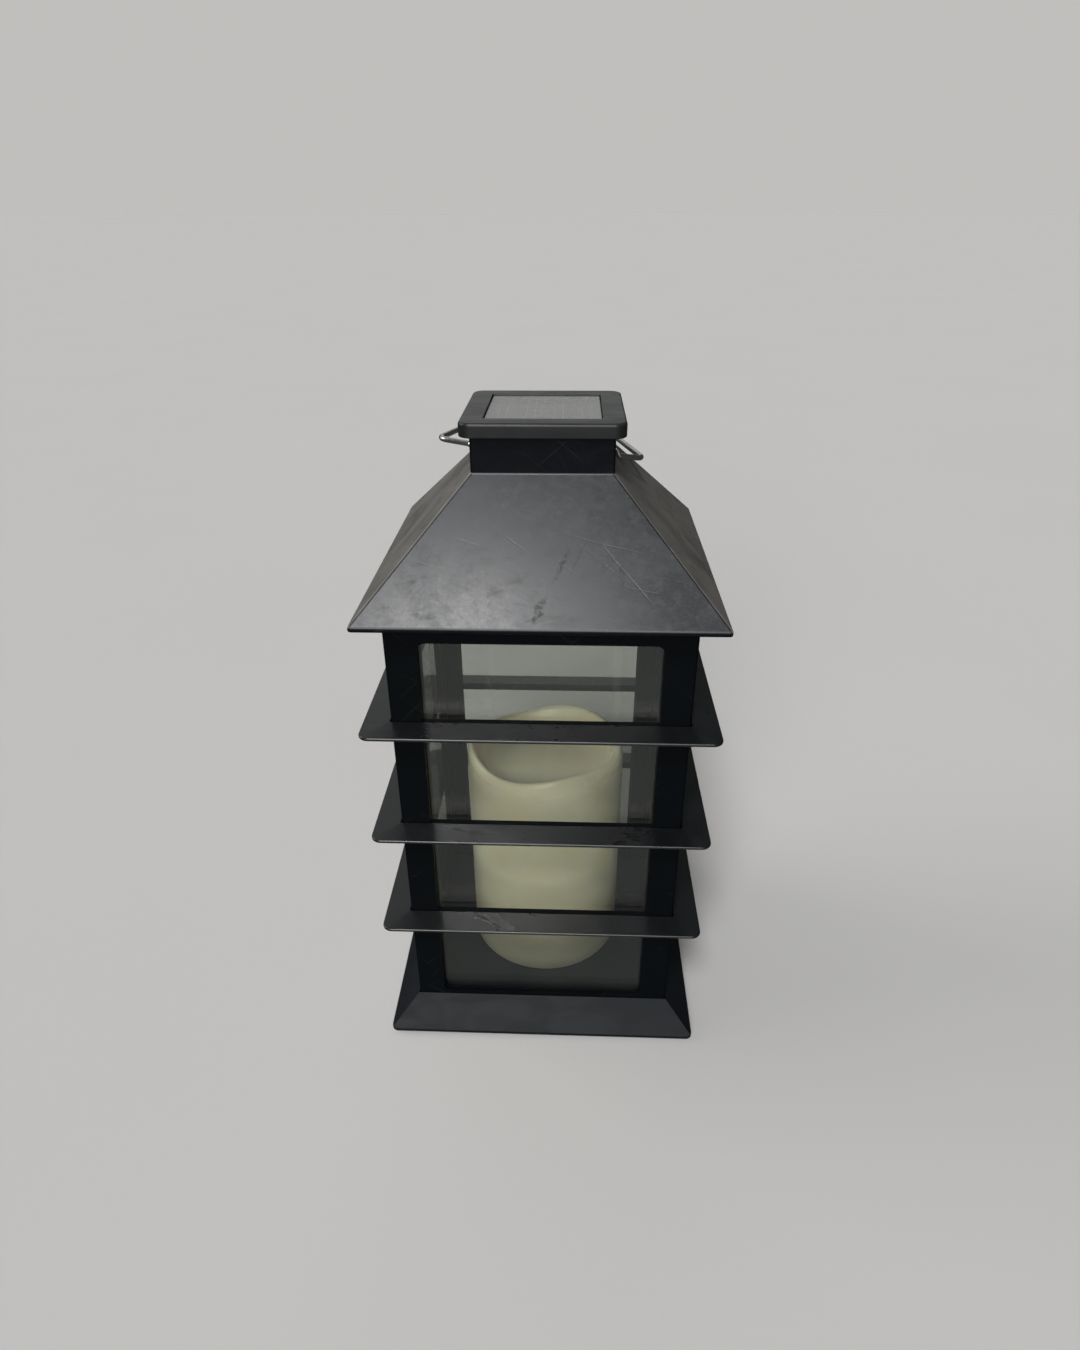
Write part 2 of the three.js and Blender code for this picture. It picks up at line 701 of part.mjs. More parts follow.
function makeCandle() {
  const bottom = FLOOR_TOP + GAP;
  const profile = [
    [0, BOWL_HEIGHT - 3.3],
    [24, BOWL_HEIGHT - 3.6],
    [33, BOWL_HEIGHT - 5.5],
    [CANDLE_BORE, BOWL_HEIGHT - 12],
    [CANDLE_BORE, WAVE_START],
    [CANDLE_BORE, bottom],
    [CANDLE_RADIUS, bottom],
    [CANDLE_RADIUS, WAVE_START],
    [CANDLE_RADIUS, RIM_HEIGHT - 12],
    [CANDLE_RADIUS - 0.1, RIM_HEIGHT - 3],
    [CANDLE_RADIUS - 1, RIM_HEIGHT - 0.6],
    [CANDLE_RADIUS - 2.2, RIM_HEIGHT],
    [CANDLE_RADIUS - 3.8, RIM_HEIGHT - 1],
    [CANDLE_RADIUS - 5.6, RIM_HEIGHT - 5],
    [CANDLE_RADIUS - 9, BOWL_HEIGHT + 4],
    [CANDLE_RADIUS - 16, BOWL_HEIGHT + 1],
    [0, BOWL_HEIGHT],
  ];
  const candle = turned(profile, CANDLE_SEGMENTS);
  const place = candle.attributes.position;
  for (let i = 0; i < place.count; i += 1) {
    const [x, y, z] = [place.getX(i), place.getY(i), place.getZ(i)];
    const rise = THREE.MathUtils.smoothstep(z, WAVE_START, RIM_HEIGHT);
    const out = Math.min(Math.hypot(x, y) / CANDLE_BORE, 1) ** 3;
    place.setZ(i, z + rise * out * rimWave(Math.atan2(y, x)));
  }
  add('candle_shell', candle, wax);
}

// an open-bottomed box with a screw boss at each end of its rear wall
function makeHousing() {
  const { x, front, back, top, wall } = HOUSING;
  const bottom = FLOOR_TOP + GAP;
  const bossTop = BOARD_BOTTOM - GAP;
  const bossHalf = 3.8;
  const outside = solid(block([-x, x], [front, back], [bottom, top]));
  const hollow = block([-x + wall, x - wall], [front + wall, back - wall], [bottom - 1, top - wall]);
  const bosses = SIDES.map((side) => block(
    [side * MODULE_SCREW_X - bossHalf, side * MODULE_SCREW_X + bossHalf],
    [MODULE_SCREW_Y - 3, back - 1],
    [bottom, bossTop],
  ));
  const pilots = SIDES.map((side) => {
    const span = [0, bossTop - 1.5];
    return rod(side * MODULE_SCREW_X, MODULE_SCREW_Y, span, SCREW_PILOT, 10);
  });
  const wireWay = rod(0, 0, [top - 3, top + 1], 1.6, 10);
  const housing = cutAll(addAll(cutAll(outside, [hollow]), bosses), [...pilots, wireWay]);
  add('battery_housing', shapeOf(housing), whitePlastic);
  SIDES.forEach((side) => {
    const name = side < 0 ? 'left' : 'right';
    const place = [side * MODULE_SCREW_X, MODULE_SCREW_Y];
    add(`housing_screw_${name}`, screw(...place, BASE_SCREW_Z, 1, SCREW_LENGTH - 2), zinc);
  });
}

function makeCell() {
  const half = CELL_LENGTH / 2;
  const nub = { radius: 2.7, length: 1.2 };
  const ease = 0.6;
  const profile = [
    [0, -half],
    [CELL_RADIUS - ease, -half],
    [CELL_RADIUS, -half + ease],
    [CELL_RADIUS, half - nub.length - ease],
    [CELL_RADIUS - ease, half - nub.length],
    [nub.radius, half - nub.length],
    [nub.radius, half],
    [0, half],
  ];
  const cell = turned(profile, 20).rotateY(Math.PI / 2).translate(0, CELL_Y, CELL_Z);
  add('battery_cell', cell, sleeve);
}

// a plate at the cell's nub end and a coil spring at its flat end
function makeContacts() {
  const half = CELL_LENGTH / 2;
  const reach = 5;
  const plate = block(
    [half + GAP, half + GAP + 0.5],
    [CELL_Y - reach, CELL_Y + reach],
    [CELL_Z - reach, CELL_Z + reach],
  );
  add('contact_plate', plate, steel);

  const coil = { radius: 3.4, wire: 0.35, turns: 3, perTurn: 10, length: 2.2 };
  const start = -half - GAP - coil.wire;
  const steps = coil.turns * coil.perTurn;
  const points = [];
  for (let i = 0; i <= steps; i += 1) {
    const angle = (2 * Math.PI * i) / coil.perTurn;
    const across = coil.radius * Math.cos(angle);
    const up = coil.radius * Math.sin(angle);
    points.push(point(start - (coil.length * i) / steps, CELL_Y + across, CELL_Z + up));
  }
  add('contact_spring', wire(points, coil.wire, 5), steel);
}

function makeBoard() {
  const { x, front, back, wall } = HOUSING;
  const edge = wall + 0.5;
  const top = BOARD_BOTTOM + BOARD_THICK;
  const seat = top + 0.1; // the parts on the board stand just clear of it
  const board = solid(block([-x + edge, x - edge], [front + edge, back - edge], [BOARD_BOTTOM, top]));
  const wireWay = rod(0, 0, [BOARD_BOTTOM - 1, top + 1], 1.4, 10);
  add('circuit_board', shapeOf(cutAll(board, [wireWay])), boardGreen);
  add('driver_chip', block([8, 13], [-6, -2], [seat, seat + 1.6]), black);
  add('choke_coil', rod(-14, -4, [seat, seat + 2.5], 3, 14), black);
}

// the mast stands on the housing and holds the lamp up under the candle's bowl
function makeLamp() {
  const ends = [point(0, 0, BOARD_BOTTOM), point(0, 0, MAST_TOP - 1)];
  add('lamp_lead', wire(ends, 1, 8), leadRed);
  const foot = { bottom: HOUSING.top + GAP, radius: MAST_RADIUS + 3, thick: 1.5 };
  const mast = turned(ringProfile([
    [MAST_BORE, foot.bottom],
    [foot.radius, foot.bottom],
    [foot.radius, foot.bottom + foot.thick],
    [MAST_RADIUS, foot.bottom + 2 * foot.thick],
    [MAST_RADIUS, MAST_TOP],
    [MAST_BORE, MAST_TOP],
  ]), 16);
  add('lamp_mast', mast, whitePlastic);
  const lampBottom = MAST_TOP + GAP;
  const flange = { radius: LED_RADIUS + 0.4, top: lampBottom + 1 };
  const lamp = turned([
    [0, lampBottom],
    [flange.radius, lampBottom],
    [flange.radius, flange.top],
    [LED_RADIUS, flange.top],
    [LED_RADIUS, LED_TOP - 2.5],
    [LED_RADIUS * 0.87, LED_TOP - 1.2],
    [LED_RADIUS * 0.5, LED_TOP - 0.3],
    [0, LED_TOP],
  ], 16);
  add('led_lamp', lamp, whitePlastic);
}

// a small can with a track in its underside, and the slider in its off position
function makeSwitch() {
  const { x, y, bottom, top } = SWITCH;
  const can = solid(block([-x, x], [SWITCH_Y - y, SWITCH_Y + y], [bottom, top]));
  const reach = SWITCH_TRAVEL + 1.8;
  const track = block([-reach, reach], [SWITCH_Y - 1.6, SWITCH_Y + 1.6], [bottom - 1, bottom + 2.2]);
  add('switch_body', shapeOf(cutAll(can, [track])), steel);
  const off = -SWITCH_TRAVEL / 2;
  const stem = solid(block([off - 1.5, off + 1.5], [SWITCH_Y - 1.2, SWITCH_Y + 1.2], [0.9, 6.8]));
  const knob = solid(block([off - 2.5, off + 2.5], [SWITCH_Y - 1.7, SWITCH_Y + 1.7], [0.6, 1.5]));
  add('switch_slider', shapeOf(stem.add(knob)), whitePlastic);
}

// a flap with its hinge knuckle at the left end and three grip ridges at the other
function makeBatteryDoor() {
  const span = [DOOR_FRONT, DOOR_BACK];
  const middle = (DOOR_FRONT + DOOR_BACK) / 2;
  const plate = solid(block([DOOR_HINGE_X, DOOR_END_X], span, [COVER_BOTTOM, COVER_TOP]));
  const knuckle = rod(0, 0, span, KNUCKLE_RADIUS, 16);
  knuckle.translate(0, 0, -middle).rotateX(Math.PI / 2).translate(DOOR_HINGE_X, middle, DOOR_Z);
  const ridge = { first: DOOR_END_X - 9, pitch: 2.4, width: 1, proud: 0.3, inset: 3 };
  const ridges = [0, 1, 2].map((i) => {
    const left = ridge.first + ridge.pitch * i;
    return block(
      [left, left + ridge.width],
      [DOOR_FRONT + ridge.inset, DOOR_BACK - ridge.inset],
      [COVER_BOTTOM - ridge.proud, COVER_BOTTOM + ridge.proud],
    );
  });
  add('battery_door', shapeOf(addAll(plate, [knuckle, ...ridges])), black);
}

// folded back over the roof: hooked ends inside the neck, a cranked leg out to a sharp elbow on
// each side, then the two sides draw together to a rounded grip. The wire is bent out of true,
// so its left side lies a little higher than the holes and its right side lower.
function makeBail() {
  const corners = [
    point(-BAIL_HOOK_X, -BAIL_HOOK, BAIL_Z),
    point(-BAIL_HOOK_X, 0, BAIL_Z),
    point(-NECK_HALF - 1.7, 0, BAIL_Z),
    point(-31.6, 0.3, BAIL_Z + 1.5),
    point(-45.6, 7, BAIL_Z + 2.1),
    point(-26, BAIL_REACH, BAIL_Z - 1),
    point(25, BAIL_REACH, BAIL_Z - 7),
    point(41.8, 7, BAIL_Z - 6),
    point(31.2, 0.3, BAIL_Z - 3.4),
    point(NECK_HALF + 1.7, 0, BAIL_Z),
    point(BAIL_HOOK_X, 0, BAIL_Z),
    point(BAIL_HOOK_X, -BAIL_HOOK, BAIL_Z),
  ];
  const oneSide = [BAIL_HOOK_BEND, BAIL_LEG_BEND, BAIL_LEG_BEND, BAIL_ELBOW, BAIL_CORNER];
  const radii = [...oneSide, ...oneSide.toReversed()];
  add('bail_handle', wire(filleted(corners, radii), WIRE_RADIUS, 8), steel);
}

// from the board down through the floor, out to the rear left corner, up behind the panes,
// in over the ceiling tray and up the neck to the solar cell
function makeSolarLead() {
  const start = { x: -15, y: 8 };
  const corners = [
    point(start.x, start.y, BOARD_BOTTOM - GAP),
    point(start.x, start.y, LEAD_UNDER),
    point(start.x, 26, LEAD_UNDER),
    point(-LEAD_CORNER, 44, LEAD_UNDER),
    point(-LEAD_CORNER, LEAD_CORNER, LEAD_UNDER),
    point(-LEAD_CORNER, LEAD_CORNER, LEAD_OVER),
    point(0, 0, LEAD_OVER),
    point(0, 0, CAP_BOTTOM + CAP_TRAY_THICK + 0.1),
  ];
  const radii = corners.slice(2).map(() => LEAD_BEND);
  add('solar_lead', wire(filleted(corners, radii, 4), LEAD_RADIUS, 8), leadRed);
}

makeBase();
makeBottomCover();
makeFeet();
makeBaseScrews();
makeCage();
makeLouvres();
makePanes();
makeColumns();
makeCeiling();
makeRoof();
makeRoofScrews();
makeCapFrame();
makeCapTray();
makeSolarPanel();
makeCandle();
makeHousing();
makeCell();
makeContacts();
makeBoard();
makeLamp();
makeSwitch();
makeBatteryDoor();
makeBail();
makeSolarLead();

export default lantern;
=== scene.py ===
import math

import bmesh
import bpy
from mathutils import Matrix, Vector


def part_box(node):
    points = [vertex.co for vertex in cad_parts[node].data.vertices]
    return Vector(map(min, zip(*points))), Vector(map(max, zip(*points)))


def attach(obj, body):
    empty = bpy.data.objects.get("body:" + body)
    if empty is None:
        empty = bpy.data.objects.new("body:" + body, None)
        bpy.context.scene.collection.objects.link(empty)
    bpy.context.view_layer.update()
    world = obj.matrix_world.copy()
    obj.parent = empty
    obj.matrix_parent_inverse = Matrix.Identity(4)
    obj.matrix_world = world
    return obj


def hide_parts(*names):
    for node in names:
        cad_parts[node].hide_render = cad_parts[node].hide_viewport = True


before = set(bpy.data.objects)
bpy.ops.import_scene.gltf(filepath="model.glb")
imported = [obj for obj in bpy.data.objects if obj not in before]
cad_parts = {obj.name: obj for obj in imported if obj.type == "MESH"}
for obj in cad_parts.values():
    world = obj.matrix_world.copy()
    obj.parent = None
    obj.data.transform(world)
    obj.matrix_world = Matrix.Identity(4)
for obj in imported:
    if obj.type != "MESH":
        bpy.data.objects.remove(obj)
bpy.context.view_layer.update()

MM = 0.001
CORNERS = ("front_left", "front_right", "rear_left", "rear_right")
BODY = "lantern_body"


# ------------------------------------------------------------------ sizes, a few of them from the frame
def box(node):
    """The lowest and highest corner of a CAD node."""
    low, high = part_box(node)
    return low / MM, high / MM


CAGE_HALF = 62.0
LOUVRE_HALF = box("louvre_ring_upper")[1].x
LOUVRE_NAMES = ("lower", "middle", "upper")
ROOF_HIGH = box("roof_shell")[1]
EAVE_HALF = ROOF_HIGH.x
EAVE_BOTTOM = 223.2
EAVE_LIP = 2.0
NECK_HALF = 28.4
NECK_BOTTOM = 271.8
NECK_WALL = 2.2
SHELL = 2.0
GAP = 0.3
BOSS_AWAY = 38.0
BOSS_RADIUS = 3.5
BOSS_BORE = 1.4
BOSS_BOTTOM = 218.3
BOSS_TOP = 256.0
PIVOT_BORE = 1.5
CAP_LOW, CAP_HIGH = box("cap_frame")
CAP_OPENING = 23.3
CELL_HALF = 22.4
BUSBAR_HALF = 0.35
CANDLE_LOW = box("candle_shell")[0]
CANDLE_RADIUS = 39.25
CANDLE_BORE = 36.2
RIM_HEIGHT = 127.0
BOWL_HEIGHT = 113.8
WAVE_START = 92.0
BAIL_Z = 274.7
BAIL_HOOK = 3.4
BAIL_HOOK_X = 23.6
WIRE_RADIUS = 1.2
SCREW_HEAD = 2.5
SCREW_HEAD_HEIGHT = 1.6
SCREW_SHANK = 1.1
RECESS_LONG = 1.35
RECESS_NARROW = 0.28
RECESS_DEPTH = 1.1
CELL_END_RADIUS = 2.7
CELL_END_HEIGHT = 1.2


# ------------------------------------------------------------------ mesh helpers
def piece_from(name, points, faces, sharp=35):
    """A piece from points in millimetres, smooth except across edges sharper than the angle."""
    mesh = bpy.data.meshes.new(name)
    mesh.from_pydata([Vector(p) * MM for p in points], [], faces)
    work = bmesh.new()
    work.from_mesh(mesh)
    bmesh.ops.remove_doubles(work, verts=work.verts, dist=0.001 * MM)
    bmesh.ops.recalc_face_normals(work, faces=work.faces)
    settle(work, mesh, sharp)
    piece = bpy.data.objects.new(name, mesh)
    bpy.context.scene.collection.objects.link(piece)
    return piece


def settle(work, mesh, sharp):
    """Writes the shape to the mesh, smooth except across sharp and open edges."""
    for face in work.faces:
        face.smooth = True
    for edge in work.edges:
        edge.smooth = edge.is_manifold and edge.calc_face_angle(0) < math.radians(sharp)
    work.to_mesh(mesh)
    work.free()


def grid_faces(rings, count, ends_joined):
    """Quads between rings of count points; ends_joined closes the last ring onto the first."""
    faces = []
    last = rings if ends_joined else rings - 1
    for i in range(last):
        after = (i + 1) % rings
        for k in range(count):
            turn = (k + 1) % count
            faces.append((i * count + k, i * count + turn, after * count + turn, after * count + k))
    return faces


def arc(centre, start, finish, radius, steps):
    """Points round an arc in a plane, from one angle to another, in radians."""
    for i in range(steps + 1):
        angle = start + (finish - start) * i / steps
        yield centre[0] + radius * math.cos(angle), centre[1] + radius * math.sin(angle)


def softened(outline, closed=True, steps=3):
    """An outline of (a, b, fillet radius) corners with each corner rounded by its own radius."""
    points = []
    count = len(outline)
    for i, (a, b, radius) in enumerate(outline):
        ends = not closed and i in (0, count - 1)
        if radius <= 0 or ends:
            points.append((a, b))
            continue
        here = Vector((a, b))
        before = Vector(outline[i - 1][:2]) - here
        after = Vector(outline[(i + 1) % count][:2]) - here
        reach = min(radius, before.length * 0.45, after.length * 0.45)
        start = here + before.normalized() * reach
        finish = here + after.normalized() * reach
        for step in range(steps + 1):
            t = step / steps
            points.append(tuple(start * (1 - t) ** 2 + here * 2 * t * (1 - t) + finish * t**2))
    return points


def square_ring(half, radius, z, steps=8):
    """Points round a square of the given half-width with rounded corners."""
    inner = half - radius
    ring = []
    for quarter in range(4):
        turn = quarter * math.pi / 2
        sign_x = (1, -1, -1, 1)[quarter]
        sign_y = (1, 1, -1, -1)[quarter]
        centre = (sign_x * inner, sign_y * inner)
        ring += [(x, y, z) for x, y in arc(centre, turn, turn + math.pi / 2, radius, steps)]
    return ring


def square_loft(name, outline, corner, least=0.25, closed=True, sharp=35):
    """An outline of (half-width, z) carried round a square.

    corner is the plan radius at the largest half-width; smaller squares are offsets of that
    one, so their corners tighten inwards to the least radius, as on a moulded part."""
    widest = max(half for half, _ in outline)
    rings = [
        square_ring(half, min(half, max(least, corner - (widest - half))), z) for half, z in outline
    ]
    count = len(rings[0])
    faces = grid_faces(len(rings), count, closed)
    if not closed:
        faces.append(tuple(range(count)))
        faces.append(tuple(range((len(rings) - 1) * count, len(rings) * count)))
    return piece_from(name, [p for ring in rings for p in ring], faces, sharp)


def turned(name, outline, segments=64, closed=False, sharp=35, wave=None):
    """An outline of (radius, z) turned about the z axis; wave moves the points of each ring."""
    points = []
    for radius, z in outline:
        for k in range(segments):
            angle = 2 * math.pi * k / segments
            place = (radius * math.cos(angle), radius * math.sin(angle), z)
            points.append(wave(place) if wave else place)
    faces = grid_faces(len(outline), segments, closed)
    return piece_from(name, points, faces, sharp)


def tube(name, route, radius, sides=20):
    """A round wire along a list of points, with rounded ends."""
    route = [Vector(p) for p in route]
    tangents = []
    for i in range(len(route)):
        before = route[max(i - 1, 0)]
        after = route[min(i + 1, len(route) - 1)]
        tangents.append((after - before).normalized())
    side = tangents[0].orthogonal().normalized()
    rings = []
    for place, tangent in zip(route, tangents):
        side = (side - tangent * side.dot(tangent)).normalized()
        up = tangent.cross(side)
        rings.append((place, side.copy(), up, 1.0))
    cap = [(0.05, 1.0), (0.6, 0.8), (0.9, 0.45)]
    start, across, up, _ = rings[0]
    head = [(start - tangents[0] * radius * out, across, up, size) for size, out in cap]
    finish, across, up, _ = rings[-1]
    tail = [(finish + tangents[-1] * radius * out, across, up, size) for size, out in reversed(cap)]
    points = []
    for place, across, up, size in head + rings + tail:
        for k in range(sides):
            angle = 2 * math.pi * k / sides
            points.append(place + (across * math.cos(angle) + up * math.sin(angle)) * radius * size)
    count = len(points) // sides
    faces = grid_faces(count, sides, False)
    faces.append(tuple(range(sides)))
    faces.append(tuple(range((count - 1) * sides, count * sides)))
    return piece_from(name, points, faces, 60)


def bent_route(corners, radii, steps=10):
    """Straight runs between corners, each inner corner rounded by an arc of its own radius."""
    corners = [Vector(c) for c in corners]
    route = [corners[0]]
    for i in range(1, len(corners) - 1):
        radius = radii[i - 1]
        before = (corners[i - 1] - corners[i]).normalized()
        after = (corners[i + 1] - corners[i]).normalized()
        opening = before.angle(after)
        centre = corners[i] + (before + after).normalized() * (radius / math.sin(opening / 2))
        spoke = corners[i] + before * (radius / math.tan(opening / 2)) - centre
        axis = after.cross(before).normalized()
        for step in range(steps + 1):
            turn = Matrix.Rotation((math.pi - opening) * step / steps, 3, axis)
            route.append(centre + turn @ spoke)
    route.append(corners[-1])
    return route


def eased(node, width):
    """A new piece with a CAD node's own shape and its edges rounded by a small bevel."""
    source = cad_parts[node]
    mesh = bpy.data.meshes.new(node + "_eased")
    work = bmesh.new()
    work.from_mesh(source.data)
    bmesh.ops.remove_doubles(work, verts=work.verts, dist=0.002 * MM)
    bmesh.ops.dissolve_limit(
        work, angle_limit=math.radians(0.6), verts=work.verts, edges=work.edges,
        use_dissolve_boundaries=False,
    )
    sharp = [
        edge for edge in work.edges
        if edge.is_manifold and edge.calc_face_angle(0) > math.radians(25)
    ]
    bmesh.ops.bevel(
        work, geom=sharp, offset=width * MM, offset_type="OFFSET", segments=2,
        profile=0.5, affect="EDGES", clamp_overlap=True,
    )
    bmesh.ops.recalc_face_normals(work, faces=work.faces)
    settle(work, mesh, 50)
    piece = bpy.data.objects.new(mesh.name, mesh)
    bpy.context.scene.collection.objects.link(piece)
    flatten_shading(piece)
    return piece


def flatten_shading(piece):
    """Keeps the shading of wide flat faces flat beside their rounded edges."""
    weights = piece.modifiers.new("flat faces stay flat", "WEIGHTED_NORMAL")
    weights.keep_sharp = True


def cut(piece, cutter, operation="DIFFERENCE"):
    """Takes the cutter away from the piece, or joins it on, and removes the cutter."""
    change = piece.modifiers.new("cut", "BOOLEAN")
    change.operation = operation
    change.solver = "EXACT"
    change.object = cutter
    bpy.context.view_layer.update()
    graph = bpy.context.evaluated_depsgraph_get()
    shape = bpy.data.meshes.new_from_object(piece.evaluated_get(graph))
    piece.modifiers.clear()
    old = piece.data
    piece.data = shape
    bpy.data.meshes.remove(old)
    bpy.data.objects.remove(cutter)
    work = bmesh.new()
    work.from_mesh(piece.data)
    settle(work, piece.data, 35)


def dress(piece, material, body, slot, *nodes):
    """Gives a piece its material and body, and hides the CAD nodes that it stands for."""
    piece.data.materials.clear()
    piece.data.materials.append(material)
    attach(piece, body)
    if nodes:
        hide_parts(*nodes)
    return piece


def move_to(piece, where):
    """Moves a piece made at the origin sideways to a place; its heights stay."""
    piece.data.transform(Matrix.Translation(Vector((where[0], where[1], 0)) * MM))


def coat(node, material):
    """Gives a CAD node that is shown as it is a visible material."""
    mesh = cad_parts[node].data
    mesh.materials.clear()
    mesh.materials.append(material)


# ------------------------------------------------------------------ camera
CAMERA_DEGREES = (2.32, 29.37, -0.31)
CAMERA_DISTANCE = 406.8
CAMERA_LENS = 22.48
CAMERA_SENSOR = 36
AIM_RIGHT = -2.53
AIM_HEIGHT = 165.48


def make_camera():
    """The viewing angle: 2 degrees to the right and 29 degrees above, close by with a wide lens."""
    azimuth, elevation, roll = (math.radians(a) for a in CAMERA_DEGREES)
    back = Vector((
        math.sin(azimuth) * math.cos(elevation),
        -math.cos(azimuth) * math.cos(elevation),
        math.sin(elevation),
    ))
    right = Vector((math.cos(azimuth), math.sin(azimuth), 0))
    aim = right * AIM_RIGHT + Vector((0, 0, AIM_HEIGHT))
    camera = bpy.data.objects.new("camera", bpy.data.cameras.new("camera"))
    camera.data.sensor_width = CAMERA_SENSOR
    camera.data.lens = CAMERA_LENS
    camera.data.clip_start = 0.01
    camera.location = (aim + back * CAMERA_DISTANCE) * MM
    camera.rotation_mode = "QUATERNION"
    turn = (-back).to_track_quat("-Z", "Y")
    camera.rotation_quaternion = turn @ Matrix.Rotation(roll, 4, "Z").to_quaternion()
    bpy.context.scene.collection.objects.link(camera)
    bpy.context.scene.camera = camera


make_camera()


# ------------------------------------------------------------------ material helpers
class Paint:
    """A material's node tree with short calls for the nodes used here; its place is in mm."""

    def __init__(self, name):
        self.material = bpy.data.materials.new(name)
        self.material.use_nodes = True
        self.tree = self.material.node_tree
        self.tree.nodes.clear()
        coordinates = self.tree.nodes.new("ShaderNodeTexCoord")
        self.normal = coordinates.outputs["Normal"]
        scaled = self.node("ShaderNodeVectorMath", operation="SCALE")
        self.feed(scaled.inputs["Vector"], coordinates.outputs["Object"])
        scaled.inputs["Scale"].default_value = 1 / MM
        self.place = scaled.outputs[0]
        self.surface = self.node("ShaderNodeBsdfPrincipled")
        self.out = self.node("ShaderNodeOutputMaterial", {"Surface": self.surface.outputs[0]})

    def node(self, kind, inputs=None, **settings):
        """A new node with its inputs linked or set, and its own settings."""
        new = self.tree.nodes.new(kind)
        for key, value in settings.items():
            setattr(new, key, value)
        for key, value in (inputs or {}).items():
            self.feed(new.inputs[key], value)
        return new

    def feed(self, socket, value):
        if isinstance(value, bpy.types.NodeSocket):
            self.tree.links.new(value, socket)
        elif hasattr(value, "__len__") and len(value) == 3 and socket.type == "RGBA":
            socket.default_value = (*value, 1)
        else:
            socket.default_value = value

    def set(self, **inputs):
        for key, value in inputs.items():
            self.feed(self.surface.inputs[key.replace("_", " ")], value)

    def moved(self, turn=(0, 0, 0), scale=(1, 1, 1), place=(0, 0, 0)):
        """The place turned by degrees, scaled and shifted, for a pattern that must not line up."""
        spin = tuple(math.radians(a) for a in turn)
        mapping = self.node("ShaderNodeMapping", {"Vector": self.place, "Location": place})
        mapping.inputs["Rotation"].default_value = spin
        mapping.inputs["Scale"].default_value = scale
        return mapping.outputs[0]

    def noise(self, size, detail=4.0, roughness=0.55, vector=None, warp=0.0):
        """Cloudy noise whose features are about size millimetres across."""
        made = self.node("ShaderNodeTexNoise", {
            "Vector": vector or self.place,
            "Scale": 1 / size,
            "Detail": detail,
            "Roughness": roughness,
            "Distortion": warp,
        })
        return made.outputs["Fac"]

    def band(self, value, low, high, out_low=0.0, out_high=1.0):
        """A smooth step from out_low to out_high while the value goes from low to high."""
        ranged = self.node("ShaderNodeMapRange", {
            "Value": value, "From Min": low, "From Max": high, "To Min": out_low, "To Max": out_high,
        })
        ranged.interpolation_type = "SMOOTHSTEP"
        return ranged.outputs[0]

    def calculate(self, operation, a, b=0.0):
        return self.node("ShaderNodeMath", {0: a, 1: b}, operation=operation).outputs[0]

    def sum(self, a, b):
        return self.calculate("ADD", a, b)

    def less(self, a, b):
        return self.calculate("SUBTRACT", a, b)

    def times(self, a, b):
        return self.calculate("MULTIPLY", a, b)

    def most(self, a, b):
        return self.calculate("MAXIMUM", a, b)

    def power(self, a, exponent):
        return self.calculate("POWER", a, exponent)

    def off_middle(self, value):
        """How far the value is from the middle of its unit cell."""
        return self.calculate("ABSOLUTE", self.less(self.calculate("FRACT", value), 0.5))

    def mix(self, factor, a, b):
        made = self.node("ShaderNodeMix", data_type="RGBA")
        self.feed(made.inputs[0], factor)
        self.feed(made.inputs[6], a)
        self.feed(made.inputs[7], b)
        return made.outputs[2]

    def mix_value(self, factor, a, b):
        return self.node("ShaderNodeMix", {0: factor, 2: a, 3: b}).outputs[0]

    def axis(self, vector, which):
        return self.node("ShaderNodeSeparateXYZ", {0: vector}).outputs[which]

    def bump(self, height, depth, under=None):
        """Bump whose height of 1 stands depth millimetres proud."""
        made = self.node("ShaderNodeBump", {"Height": height, "Distance": depth * MM, "Strength": 1.0})
        if under is not None:
            self.feed(made.inputs["Normal"], under)
        return made.outputs[0]

    def shine(self, straight=0.04):
        """How much a clear sheet mirrors, alike from both sides, rising towards a grazing look."""
        facing = self.node("ShaderNodeLayerWeight", {"Blend": 0.5}).outputs["Facing"]
        return self.sum(self.times(self.power(facing, 5), 1 - straight), straight)

    def scratch(self, turn, spacing, width, reach, share, seed):
        """Straight fine scratches in one direction: spacing apart, tapered, up to reach long."""
        where = self.moved(turn, place=(seed * 11.3, seed * 7.9, seed * 5.1))
        wander = self.times(self.noise(reach * 1.5, 1), 0.5)
        across = self.sum(self.times(self.axis(where, 1), 1 / spacing), wander)
        along = self.times(self.axis(where, 0), 1 / reach)
        strip = self.calculate("FLOOR", across)
        shift = self.node("ShaderNodeTexWhiteNoise", {"W": strip}, noise_dimensions="1D")
        along = self.sum(along, self.times(shift.outputs["Value"], 9.0))
        cell = self.node("ShaderNodeCombineXYZ", {0: strip, 1: self.calculate("FLOOR", along)})
        chance = self.node(
            "ShaderNodeTexWhiteNoise", {"Vector": cell.outputs[0]}, noise_dimensions="2D"
        )
        line = self.band(self.off_middle(across), 0.0, width / spacing, 1.0, 0.0)
        taper = self.band(self.off_middle(along), 0.12, 0.46, 1.0, 0.0)
        there = self.band(chance.outputs["Value"], 1 - share, 1 - share * 0.7)
        return self.times(self.times(line, taper), there)

    def scratches(self, turns, spacing=7.0, width=0.16, reach=26.0, share=0.35):
        """Scratches in several directions, each set wider apart and longer than the one before."""
        lines = None
        for i, turn in enumerate(turns):
            apart = spacing * (1 + 0.23 * i)
            line = self.scratch(turn, apart, width, reach * (1 + 0.31 * i), share, i + 1)
            lines = line if lines is None else self.most(lines, line)
        return lines

